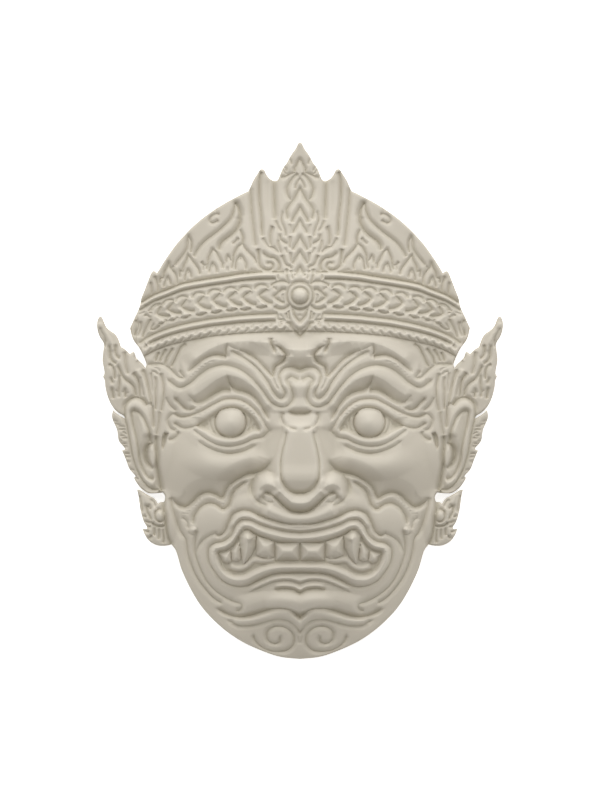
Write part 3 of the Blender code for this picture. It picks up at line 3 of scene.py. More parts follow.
import bmesh
import bpy
import numpy as np
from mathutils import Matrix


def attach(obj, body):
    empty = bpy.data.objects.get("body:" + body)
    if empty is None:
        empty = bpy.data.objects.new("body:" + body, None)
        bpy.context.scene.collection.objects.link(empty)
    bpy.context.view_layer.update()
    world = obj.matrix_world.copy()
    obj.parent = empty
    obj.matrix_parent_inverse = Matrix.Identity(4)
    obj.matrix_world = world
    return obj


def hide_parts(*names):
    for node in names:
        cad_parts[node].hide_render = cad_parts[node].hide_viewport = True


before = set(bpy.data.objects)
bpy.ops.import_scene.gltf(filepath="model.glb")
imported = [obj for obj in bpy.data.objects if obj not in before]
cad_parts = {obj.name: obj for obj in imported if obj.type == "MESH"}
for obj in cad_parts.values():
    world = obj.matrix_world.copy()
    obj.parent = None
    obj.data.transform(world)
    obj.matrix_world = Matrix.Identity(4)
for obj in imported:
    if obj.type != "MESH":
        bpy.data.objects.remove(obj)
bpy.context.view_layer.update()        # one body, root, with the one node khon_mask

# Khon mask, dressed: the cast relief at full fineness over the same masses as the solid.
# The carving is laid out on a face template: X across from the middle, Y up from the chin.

# Driving sizes. The mask height, the dome and the wall are the solid's.
MASK_HEIGHT = 0.345         # chin to finial tip, in metres
TEMPLATE_HEIGHT = 516.5     # the same length on the template
RIM = 18.0                  # thickness of the plain edge above the back
DOME_RISE = 46.0            # how far the head bulges above the rim
HEAD_HALF_WIDTH = 158.0
HEAD_HALF_HEIGHT = 242.0
HEAD_MID = 235.0            # height of the widest part of the bulge above the chin
BANK_REACH = 1.9            # how far the banks of a crease run out
BANK_SHARE = 0.35           # how deep those banks are against the crease
WALL = 14.0                 # shell left between the hollow and the face
STEP = 0.62                 # spacing of the relief grid before it is thinned out
PIECE_TRIANGLES = 194000    # what is kept of the whole mask
EDGE_ROLL = 2.4             # how far the cast edge rounds over
GRID_RIGHT = 206.0          # the relief grid reaches from the middle to here
GRID_LOW = -2.0             # and from here
GRID_HIGH = 520.0           # up to here
SPREAD = 12.0               # how far a soft hollow runs out beside its crease
SPREAD_BELOW = 0.28         # share of that on the lower side
LEAN = -0.1                 # a crease is this much narrower on its lower side
END_DEPTH = 0.15            # what is left of a crease's depth at a faded end
SIDE_SHARE = 0.68           # how much of a crease is its plain sides, the rest its sharp foot
STRAND_REACH = 16           # how far a strand between two runs is measured from either
OUTLINE_SPACING = 1.5       # how close the outline's points are
HALF_OVERLAP = 3            # grid columns that the right half is carried past the middle
BAND_SPACING = 6.0          # how close the points of a line along the band are
FAR = 1e9                   # farther than anything on the template

# Resin colours, linear: the base, a painted shade for the grooves and a painted highlight for raised
# parts
BASE_COLOUR = (0.617, 0.571, 0.485, 1.0)
GROOVE_SHADE_COLOUR = (0.520, 0.482, 0.392, 1.0)
PROUD_HIGHLIGHT_COLOUR = (0.640, 0.596, 0.512, 1.0)

# Studio
FRAME_HEIGHT = 800.0        # what the camera sees, in template units
FRAME_MID = 0.75            # height of the view's middle above the mask's middle
LAMP_TILT = 50.0            # the lamp leans this far from overhead towards the crown
LAMP_SPREAD = 90.0
LAMP_STRENGTH = 2.58
FILL_STRENGTH = 0.33
FLOOR_GLOW = 0.75

# Outline, from the chin round the earring, the ear and the crown to the finial. Each run
# starts at the last point of the one before it.
CHIN_RUN = [(0, 1), (20, 3.2), (40, 10), (60, 19.5), (80, 34), (100, 55.5), (117.5, 88), (124.5, 110),
            (128.5, 115.5)]
EARRING_LOW = [(134, 114.3), (142, 114.5), (148, 117), (152.5, 121), (155.5, 126), (157.5, 131.5)]
EARRING_SIDE = [(153.5, 131), (153, 133), (156, 138), (159.5, 150), (161.5, 164), (163, 170.5)]
EARRING_TOP = [(160, 170), (155, 167), (150, 164), (146, 162), (143.5, 159), (142, 156.5)]
POCKET = [(139.5, 158), (136.5, 158), (135, 161), (135, 164), (137, 167.5)]
LOBE_RUN = [(141, 167), (147, 166.5), (152, 167), (157, 170), (161, 174), (165, 180), (166, 182.5)]
EAR_LOW = [(164.5, 183.5), (170.5, 191), (174, 200), (178, 209.5)]
EAR_MID = [(175, 211), (181, 219), (183, 230), (188, 243), (187, 250)]
EAR_SLIT = [(185, 248), (181, 245), (175, 241.5)]
EAR_BACK = [(176, 243.8), (181, 247), (186, 251.5), (191, 260), (194.5, 272), (195.5, 280),
            (197, 283.5)]
EAR_HIGH = [(195.5, 287), (196, 291), (197.5, 300), (196.5, 310), (196, 316), (201, 325), (203, 334),
            (202, 341), (200, 344)]
EAR_FRONT = [(198, 342.5), (194, 333.5), (190, 329.5), (185, 326), (182, 321.5), (179, 313)]
EAR_STEP = [(176, 311.5), (173, 309), (170, 306)]
EAR_HOOK = [(168, 307.5), (166, 308), (164, 302.5), (157, 295.5), (154.5, 292)]
BAND_LOW = [(153.5, 295.5), (154.5, 299), (160, 311), (167, 321), (170, 332)]
BAND_HIGH = [(165.5, 342), (160.5, 353), (158.5, 362), (155, 371), (150, 384), (148, 388), (146, 389),
             (143, 387)]
CROWN_RUN = [(134, 401.5), (121, 419), (101, 439), (80, 454), (60, 465), (51.5, 469)]
POST_OUT = [(46, 481), (42, 487), (39.8, 490.5), (38, 491)]
POST_IN = [(36, 490), (33, 484.5), (29, 480.5), (25, 479), (22, 480.3)]
FINIAL_RUN = [(17, 492), (13, 497.5), (9, 505), (4, 512), (1.5, 517), (0, 517.5)]
OUTLINE_RUNS = [CHIN_RUN, EARRING_LOW, EARRING_SIDE, EARRING_TOP, POCKET, LOBE_RUN, EAR_LOW, EAR_MID,
                EAR_SLIT, EAR_BACK, EAR_HIGH, EAR_FRONT, EAR_STEP, EAR_HOOK, BAND_LOW, BAND_HIGH,
                CROWN_RUN, POST_OUT, POST_IN, FINIAL_RUN]


def spline(points, spacing=1.0):
    """A smooth run through the named points, sampled about every spacing."""
    p = np.asarray(points, float)
    if len(p) == 2:
        n = max(2, int(math.hypot(*(p[1] - p[0])) / spacing) + 1)
        return p[0] + (p[1] - p[0]) * np.linspace(0, 1, n)[:, None]
    p = np.vstack([2 * p[0] - p[1], p, 2 * p[-1] - p[-2]])
    out = []
    for a, b, c, d in zip(p[:-3], p[1:-2], p[2:-1], p[3:]):
        n = max(1, int(math.ceil(np.linalg.norm(c - b) / spacing)))
        # Centripetal spacing keeps the run from looping at uneven points.
        k0 = 0.0
        k1 = max(np.linalg.norm(b - a), 1e-6) ** 0.5
        k2 = k1 + max(np.linalg.norm(c - b), 1e-6) ** 0.5
        k3 = k2 + max(np.linalg.norm(d - c), 1e-6) ** 0.5
        t = (k1 + (k2 - k1) * np.arange(n) / n)[:, None]
        a1 = (k1 - t) / (k1 - k0) * a + (t - k0) / (k1 - k0) * b
        a2 = (k2 - t) / (k2 - k1) * b + (t - k1) / (k2 - k1) * c
        a3 = (k3 - t) / (k3 - k2) * c + (t - k2) / (k3 - k2) * d
        b1 = (k2 - t) / (k2 - k0) * a1 + (t - k0) / (k2 - k0) * a2
        b2 = (k3 - t) / (k3 - k1) * a2 + (t - k1) / (k3 - k1) * a3
        out.append((k2 - t) / (k2 - k1) * b1 + (t - k1) / (k2 - k1) * b2)
    out.append(p[-2][None, :])
    return np.vstack(out)


def ease(t):
    """A step from 0 to 1 that starts and ends gently."""
    t = np.clip(t, 0.0, 1.0)
    return t * t * (3 - 2 * t)


def blurred(values, reach):
    """A wide, smooth average: three box averages one after another."""
    out = values
    for _ in range(3):
        for axis in (0, 1):
            pad = [(0, 0), (0, 0)]
            pad[axis] = (reach + 1, reach)
            total = np.cumsum(np.pad(out, pad, mode="edge"), axis=axis)
            if axis == 0:
                out = (total[2 * reach + 1:] - total[:-2 * reach - 1]) / (2 * reach + 1)
            else:
                out = (total[:, 2 * reach + 1:] - total[:, :-2 * reach - 1]) / (2 * reach + 1)
    return out


def arc(x, y, rx, ry, start, end, count):
    """Points round an oval, clockwise from its top, with the angles in radians."""
    return [(x + rx * math.sin(a), y + ry * math.cos(a)) for a in np.linspace(start, end, count)]


def closed(run):
    return np.vstack([run, run[:1]])


def mirrored(run):
    """A run that starts and ends in the middle, closed by its mirror image."""
    return np.vstack([run, run[::-1] * [-1, 1]])


class Relief:
    """Heights over the right half of the mask, built up from masses and carved by strokes."""

    def __init__(self, step):
        self.step = step
        self.xs = np.arange(0, GRID_RIGHT + step, step)
        self.ys = np.arange(GRID_LOW, GRID_HIGH + step, step)
        self.x, self.y = np.meshgrid(self.xs, self.ys)
        self.h = np.zeros_like(self.x)
        self.crease = np.zeros_like(self.x)
        self.soft = np.zeros_like(self.x)

    def window(self, lo, hi):
        """The part of the grid between two corners."""
        i0 = max(0, int((lo[0] - self.xs[0]) / self.step))
        i1 = min(len(self.xs), int((hi[0] - self.xs[0]) / self.step) + 2)
        j0 = max(0, int((lo[1] - self.ys[0]) / self.step))
        j1 = min(len(self.ys), int((hi[1] - self.ys[0]) / self.step) + 2)
        return slice(j0, max(j0, j1)), slice(i0, max(i0, i1))

    def near(self, run, reach):
        """Window, distance, offset in Y and place from 0 to 1 along the run."""
        win = self.window(run.min(0) - reach, run.max(0) + reach)
        x, y = self.x[win], self.y[win]
        dist = np.full(x.shape, FAR)
        rise = np.zeros(x.shape)
        place = np.zeros(x.shape)
        length = np.concatenate([[0], np.cumsum(np.linalg.norm(np.diff(run, axis=0), axis=1))])
        if x.size == 0:
            return win, dist, rise, place
        ox, oy = x[0, 0], y[0, 0]
        for k in range(len(run) - 1):
            a, b = run[k], run[k + 1]
            lo, hi = np.minimum(a, b) - reach, np.maximum(a, b) + reach
            i0 = max(0, int((lo[0] - ox) / self.step))
            i1 = int((hi[0] - ox) / self.step) + 2
            j0 = max(0, int((lo[1] - oy) / self.step))
            j1 = int((hi[1] - oy) / self.step) + 2
            if i1 <= 0 or j1 <= 0:
                continue
            s = (slice(j0, j1), slice(i0, i1))
            d = b - a
            q = d @ d
            if q < 1e-12:
                continue
            t = np.clip(((x[s] - a[0]) * d[0] + (y[s] - a[1]) * d[1]) / q, 0, 1)
            ex, ey = x[s] - a[0] - t * d[0], y[s] - a[1] - t * d[1]
            e = np.sqrt(ex * ex + ey * ey)
            better = e < dist[s]
            dist[s] = np.where(better, e, dist[s])
            rise[s] = np.where(better, ey, rise[s])
            place[s] = np.where(better, (length[k] + t * (length[k + 1] - length[k])), place[s])
        return win, dist, rise, place / max(length[-1], 1e-6)

    def cut(self, points, depth, width, fade=(0, 0), soft=0.0, reach=SPREAD):
        """Carves a crease with plain banks; soft adds a wide hollow, mostly above it."""
        run = spline(points)
        far = max(width * (1 + LEAN), reach if soft else 0)
        win, d, rise, s = self.near(run, far)
        length = np.linalg.norm(np.diff(run, axis=0), axis=1).sum()
        full = np.ones_like(d)
        for to_end, run_out in ((s, fade[0]), (1 - s, fade[1])):
            if run_out:
                full = full * (END_DEPTH + (1 - END_DEPTH) * ease(to_end * length / run_out))
        lean = rise / np.maximum(d, 1e-3)
        w = width * (1 - LEAN * lean) * (0.4 + 0.6 * full)
        t = np.clip(1 - d / w, 0, 1)
        profile = SIDE_SHARE * t + (1 - SIDE_SHARE) * t ** 5
        self.crease[win] = np.maximum(self.crease[win], depth * full * profile)
        if soft:
            w = reach * np.where(lean > 0, 1, SPREAD_BELOW)
            t = np.clip(1 - d / w, 0, 1)
            # The hollow dies away over a longer stretch than the crease itself.
            rate = [reach if value else 0.01 for value in fade]
            full = ease(s * length / rate[0]) * ease((1 - s) * length / rate[1])
            self.soft[win] = np.maximum(self.soft[win], soft * full * t ** 1.15)

    def swell(self, points, height, width, fade=(0, 0), power=1.0):
        """Raises a strand along a run: rounded, or with a sharp ridge where power is 0."""
        run = spline(points)
        win, d, _, s = self.near(run, width)
        length = np.linalg.norm(np.diff(run, axis=0), axis=1).sum()
        full = np.ones_like(d)
        for to_end, run_out in ((s, fade[0]), (1 - s, fade[1])):
            if run_out:
                full = full * ease(to_end * length / run_out)
        t = np.clip(1 - (d / width) ** (2 if power else 1), 0, 1) ** (power or 1)
        self.h[win] += height * full * t

    def mound(self, x, y, rx, ry, height, turn=0.0, power=2.0):
        """Adds a smooth mass; turn is in degrees."""
        r = max(rx, ry)
        win = self.window((x - r, y - r), (x + r, y + r))
        c, s = math.cos(math.radians(turn)), math.sin(math.radians(turn))
        u = ((self.x[win] - x) * c + (self.y[win] - y) * s) / rx
        v = (-(self.x[win] - x) * s + (self.y[win] - y) * c) / ry
        self.h[win] += height * np.clip(1 - u * u - v * v, 0, 1) ** power

    def inside(self, run, win):
        """Which points of a window lie inside a closed run."""
        x, y = self.x[win], self.y[win]
        odd = np.zeros(x.shape, bool)
        for a, b in zip(run, np.roll(run, -1, axis=0)):
            if a[1] == b[1]:
                continue
            side = (b[0] - a[0]) * (y - a[1]) / (b[1] - a[1]) + a[0]
            odd ^= ((a[1] > y) != (b[1] > y)) & (x < side)
        return odd

    def plate(self, run, height, edge):
        """Raises (or sinks, with a negative height) everything inside a closed run."""
        win, d, _, _ = self.near(closed(run), edge)
        inner = self.inside(run, win)
        t = np.where(inner, np.clip(d / edge, 0, 1), 0)
        self.h[win] += height * (1 - (1 - t) ** 2)

    def banks(self):
        """Wide banks that fall away on both sides of every crease."""
        return blurred(self.crease, max(1, round(BANK_REACH / self.step)))

    def between(self, outer, inner, height):
        """Raises a strand with two plain faces that fills the room between two closed runs."""
        win, out_by, _, _ = self.near(closed(outer), STRAND_REACH)
        far = np.full(self.x.shape, FAR)
        inner_win, in_by, _, _ = self.near(closed(inner), STRAND_REACH)
        far[inner_win] = in_by
        room = self.inside(outer, win) & ~self.inside(inner, win)
        share = out_by / np.maximum(out_by + far[win], 1e-3)
        roof = np.clip(2.2 * np.minimum(share, 1 - share), 0, 1)
        self.h[win] += np.where(room, height * roof, 0)

    def finished(self):
        return self.h - self.crease - BANK_SHARE * self.banks() - self.soft


def band_low(x):
    """Height of the crown band's lower edge."""
    return np.interp(x, [0, 30, 60, 90, 110, 130, 140, 150, 156, 172],
                     [328.5, 328.1, 326.5, 323.5, 319.5, 315, 311.5, 307, 303.5, 292])


def band_high(x):
    return np.interp(x, [0, 25, 43, 60, 70, 90, 110, 120, 130, 147, 158, 172],
                     [388, 387.8, 387.5, 385.9, 384, 381, 377.7, 375.3, 371, 364.5, 357.5, 347])


def band_line(part, x0, x1):
    """A line along the band, at a part of its height above the lower edge."""
    x = np.linspace(x0, x1, max(3, int((x1 - x0) / BAND_SPACING)))
    lo, hi = band_low(x), band_high(x)
    return np.column_stack([x, lo + (hi - lo) * part])


def dome(x, y):
    """Bulge of the head, running out gently under the ears and the finial."""
    rad = (x / HEAD_HALF_WIDTH) ** 2 + ((y - HEAD_MID) / HEAD_HALF_HEIGHT) ** 2
    tail = 0.13
    return RIM + DOME_RISE * tail * np.log1p(np.exp((1 - rad) / tail))


def masses(relief):
    x, y = relief.x, relief.y
    relief.h[:] = dome(x, y)
    # Ears sit lower than the head and bulge a little.
    relief.mound(166, 240, 42, 90, 7, 0, 1)
    relief.mound(188, 305, 26, 50, 4, -15, 1)
    relief.mound(146, 140, 24, 34, 5, 0, 1)
    # Muzzle, cheeks and chin.
    relief.mound(0, 110, 124, 88, 11, 0, 1.5)
    relief.mound(88, 202, 58, 42, 9, -8, 1.5)
    relief.mound(90, 140, 24, 26, 4, 20, 1.5)
    # Roll of the cheek under the eye.
    relief.swell([(34, 209), (46, 201), (60, 195), (74, 192), (88, 193), (104, 200), (118, 210)], 4.2,
                 13, (18, 36), 1.3)
    relief.mound(14, 56, 22, 13, 3.5, 0, 1.2)
    relief.swell([(-8, 55), (0, 55), (20, 58), (36, 58), (54, 55), (66, 52)], 3.0, 11, (0, 12), 1.1)
    relief.mound(0, 40, 80, 46, 6, 0, 1.5)
    # Brow shelf.
    relief.swell([(4, 262), (18, 262), (35, 283), (60, 296), (85, 294), (104, 283), (118, 274),
                  (136, 284)], 3.5, 24, (0, 20), 1.5)
    # Forehead, rolling over above the brows.
    relief.swell([(-10, 310), (0, 309.5), (12, 311), (26, 316), (42, 318), (60, 318.5), (78, 316),
                  (92, 310), (104, 302), (114, 294)], 5.6, 13, (0, 14), 0)
    relief.swell([(28, 250), (40, 267), (52, 277), (64, 283.5), (74, 284.5), (85, 279.5), (95, 272),
                  (104, 266), (114, 262)], 3.6, 11, (8, 10), 0)
    # Eye bulge.
    relief.mound(70, 238, 52, 34, 7, 0, 1.5)


def nose(relief):
    # Place in Y, height and half width of the flat front, from the brow down to the lip.
    profile = [(312, 0.4, 22), (303, 2, 22), (296, 1.6, 22), (289.5, 0.4, 20), (284, 1.8, 20),
               (279, 3.0, 19), (274, 4.6, 18), (268, 3.4, 18), (262, 2.2, 18), (257, 3.3, 17),
               (253.5, 4.2, 17), (250, 3.6, 17), (247, 2.8, 16), (244, 4.6, 16), (238, 9.2, 15),
               (233.5, 13.2, 14), (230, 14.2, 13.2), (212, 16.4, 17.4), (195, 18.4, 20.8),
               (186, 19.6, 20.8), (180, 18.9, 20), (175, 16.8, 19), (170.5, 14.6, 19),
               (167.5, 13.3, 22), (165, 12.6, 25), (160, 12, 30), (152, 10.6, 32), (148, 9.6, 31),
               (142, 8.2, 29), (136, 6.4, 27), (127, 4.2, 26), (116, 2, 24), (100, 0, 24)]
    ys, zs, ws = np.array(profile[::-1]).T
    up = spline_profile(relief.y, ys, zs)
    w = spline_profile(relief.y, ys, ws)
    flank = ease((relief.x - 0.9 * w) / (0.5 * w))
    spread = ease((relief.x - w) / (1.5 * w))
    relief.h += up * (1 - 0.45 * flank - 0.55 * spread)
    # One ribbon runs from wing to wing under the tip and curls round at its end.
    relief.swell([(-8, 157.2), (0, 156.6), (8, 158), (13, 161.8), (20, 168), (26, 173.4), (32, 176),
                  (38, 174.3), (41.6, 169.3), (42, 163.5), (40, 158)], 5.4, 9, (0, 8), 0)
    relief.mound(33, 175, 15, 14, 7.4, 20, 1.1)
    # Upper lip strand, steep below and falling gently away above.
    relief.swell([(-8, 139.5), (0, 139), (10, 140), (20, 143.5), (30, 148), (38, 152.5)], 4.8, 7.5,
                 (0, 8), 1.2)
    relief.swell([(-8, 130), (0, 130), (13.3, 131.2), (26.7, 134), (40, 138.4), (50, 142.8),
                  (58, 143.4), (64.5, 139), (68.6, 131)], 3.2, 5.0, (0, 6), 0)


def spline_profile(v, at, values):
    """A smooth curve through values that are given at rising places."""
    run = spline(np.column_stack([at, values]))
    return np.interp(v, run[:, 0], run[:, 1], left=values[0], right=values[-1])


def chin(relief):
    cut = relief.cut
    cut([(46.2, 27), (45.3, 20), (41.3, 15), (34, 10.5), (25, 8.3), (13.3, 9.3), (7, 14.7), (5.7, 22),
         (8.7, 28), (17.3, 33), (26.7, 32.7), (32.7, 28), (33, 21.5), (30.3, 17.7), (24.5, 16),
         (20, 18.3), (20, 22.3), (21.7, 23.3)], 2.6, 4.2, (4, 2))
    cut([(0, 42), (3.3, 45.3), (10.7, 50), (20, 51.3), (30, 50.3), (40, 47.3), (52, 43.7), (62.7, 43),
         (72, 45.3), (81.3, 50.3), (85, 52)], 2.4, 4.2, (0, 6), 1.8, 11)
    cut([(0, 27), (2.7, 32), (10.7, 38.7), (21.3, 40.7), (31.3, 39), (41.3, 36), (50, 34.1),
         (61.3, 34.3), (70.7, 38.7), (75.3, 40.7)], 2.6, 4.5, (0, 8))
    relief.swell([(-5, 30.5), (0, 34.5), (5, 38.6), (10.7, 42.2), (20, 43.8), (30, 43), (40, 40),
                  (50, 37.8), (60, 37.5), (70, 41)], 2.4, 5, (0, 8), 1.1)
    cut([(0, 15), (1.5, 20), (2, 26)], 1.6, 3.5, (3, 3))


def mouth(relief):
    ring = spline([(0, 87), (26.7, 85.3), (40, 80), (53.3, 73.9), (65.3, 73.7), (76.7, 78.7),
                   (84, 86.7), (90.7, 98.7), (91.2, 110.7), (85.6, 116.4), (76.4, 118.6), (69, 124.2),
                   (64.6, 133.6), (58.7, 139.6), (50, 139.6), (40, 135.2), (26.7, 131), (13.3, 128.2),
                   (0, 127)])
    cut = relief.cut
    opening = np.vstack([spline([(0, 116), (16, 116.7), (30, 119.7), (42.7, 124.7), (50.7, 129),
                                 (54.7, 129.5), (60.3, 124), (65.3, 116), (72, 110.1), (80.7, 107.7)]),
                         spline([(81.5, 106), (79.3, 98.7), (74.7, 90.3), (66.7, 86), (57.3, 86.3),
                                 (46.7, 91.3), (34.7, 95.7), (20, 98.1), (0, 98)])])
    # Lips fill the room between the ring line and the opening.
    relief.between(mirrored(ring), mirrored(opening), 4.8)
    relief.plate(mirrored(opening), -1.4, 2.5)
    # Strands of the lower lip, each with its ridge near its foot.
    relief.swell([(-8, 79.3), (0, 79.3), (10, 81.6), (22, 81), (32, 78), (42.7, 73.4), (52, 69)], 3.4,
                 5, (0, 8), 0)
    relief.swell([(-8, 70.2), (0, 70.2), (6.7, 73.2), (17.3, 74.2), (26.7, 72.6)], 2.8, 3.8, (0, 6), 0)
    cut(ring, 2.0, 3.2)
    cut(opening, 1.8, 2.2)
    cut([(0, 75.8), (10, 78.7), (22, 78.3), (32, 75.3), (42.7, 70.7), (52, 66.5)], 2.2, 3.4, (0, 8))
    cut([(0, 66.6), (6.7, 70), (17.3, 71), (26.7, 69.5)], 2.0, 3.4, (0, 4), 1.0, 6)
    cut([(0, 135.4), (13.3, 136), (26.7, 139.6), (40, 144), (49.3, 148.6), (58, 149.4), (66.7, 145.6),
         (71.3, 137.3), (76, 127.3), (81.3, 124.3), (87.3, 128.7)], 2.2, 3.4, (0, 3), 1.2, 7)
    cut([(84, 126.4), (90.7, 124), (97.3, 119.3), (102.4, 112), (104, 105)], 2.4, 3.6, (2, 4))


def teeth(relief):
    foot, rise, reach = 1.4, 0.9, 9

    def tooth(points, top, ridge):
        # A faceted block: height falls evenly from the ridge line to every side.
        run = np.asarray(points, float)
        win, d, _, _ = relief.near(closed(run), reach)
        facets = np.minimum(top, foot + rise * np.minimum(d, ridge))
        relief.h[win] += np.where(relief.inside(run, win), facets, 0)

    tooth([(0.7, 99.4), (24.3, 99.4), (24.5, 116.8), (0.7, 116.8)], 9.5, 7.5)
    tooth([(25.8, 118.6), (25.8, 103), (30, 101.2), (38, 102.4), (44, 105.4), (44, 115), (43, 124)],
          9.5, 7)
    tooth([(43.8, 124), (44.5, 113), (49, 103.5), (56.7, 95.5), (58.7, 106), (60.5, 118), (61, 124),
           (57, 129.5), (51.4, 130)], 10.5, 8)
    tooth([(60.5, 119), (59, 100), (63, 98.3), (68, 99.5), (69, 109), (65, 115)], 8, 5)
    tooth([(69.7, 109.2), (68.6, 99), (72, 96), (77, 98), (80.8, 106)], 8, 5)
    relief.mound(52, 122, 6, 6, 3.5)
    # Gums under the lower teeth.
    relief.swell([(24, 99.5), (35, 98.6), (46, 99.5), (54, 93.2), (62, 91), (72, 94)], 2.6, 3.4, (4, 4))
    relief.cut([(0, 97.2), (20, 97.4), (34.7, 95.2), (46.7, 90.8), (57.3, 85.8), (66.7, 85.6),
                (74.7, 90)], 2.0, 2.8)


def nose_lines(relief):
    cut = relief.cut
    cut([(0, 166.6), (5, 166.8), (10.5, 169), (14.6, 173.2), (18.2, 180), (19.4, 188), (19.4, 197),
         (17.8, 208), (15.2, 219), (13.4, 229.5)], 3.4, 3.4, (0, 3))
    cut([(0, 147.2), (8, 148.4), (16, 153.6), (26.7, 163.8), (32.6, 166.8), (36.6, 164.9),
         (36.4, 161.2), (32, 158), (25, 157.6)], 2.2, 2.8, (0, 3))
    # Plain underside of the ribbon, above its line.
    cut([(-6, 147.6), (0, 147.2), (8, 148.4), (16, 153.6), (26.7, 163.8), (33.3, 167), (38.2, 165)],
        0.8, 2.4, (0, 4), 2.6, 8)
    cut([(32, 154.3), (40, 157.3), (46, 163), (49, 170), (47.7, 178.7), (42.7, 186)], 2.6, 4.2, (3, 3))
    cut([(28.3, 202.7), (29.3, 198.7), (34.7, 191.3), (42.7, 187.3), (53.3, 185.3), (63.3, 180),
         (72, 173), (78.3, 162.3), (83.3, 165), (91.3, 167.5), (100, 165), (107.3, 158), (115.3, 153),
         (124, 156.7), (128.9, 163.3)], 1.8, 3.4, (7, 4), 4.6, 16)
    cut([(28.7, 187.7), (31.3, 189.3), (35, 190.3)], 1.8, 3.5, (2, 2))
    cut([(50.7, 179.7), (60, 174), (66.7, 167.3), (71.7, 154.3), (76.7, 150.7), (83.3, 155),
         (91.3, 156.5), (99.3, 152.7), (105, 144.7), (107.7, 134.7)], 2.8, 4.6, (6, 3), 2.0, 9)


def jaw(relief):
    cut = relief.cut
    hatch(relief, [(52, 183), (64.4, 177.2), (72, 166.4), (77.8, 156)], 2.6)
    hatch(relief, [(98.8, 162.2), (106, 155), (112.6, 148.6), (119, 141)], 3.4)
    hatch(relief, [(57.6, 137), (63.4, 128), (69, 121.8)], 2.4)
    hatch(relief, [(75, 117), (82, 113.6), (87, 108)], 2.4)
    cut([(102.7, 130.7), (104.8, 117.3), (104.6, 106.7), (101.2, 95), (94.6, 80.7), (86.8, 71),
         (76.7, 63.3), (66.7, 58.3), (58.2, 55.2), (58.7, 51), (64.7, 48.3)], 2.6, 4.4, (3, 3))
    cut([(128.9, 163.3), (127, 151.3), (123, 138), (119.3, 128), (114.2, 120.7), (112.7, 110.7),
         (110.4, 100), (103.6, 83.3), (94, 69.6), (85.4, 60.9), (76.7, 56)], 2.6, 4.4, (2, 3))
    cut([(119.3, 143), (113.3, 138.7), (111.7, 130.7)], 2.0, 3.2, (3, 2))
    relief.mound(107.3, 129.7, 5, 5, 4)
    cut([(103.5, 126), (107, 125), (110.5, 127)], 1.6, 2.4)


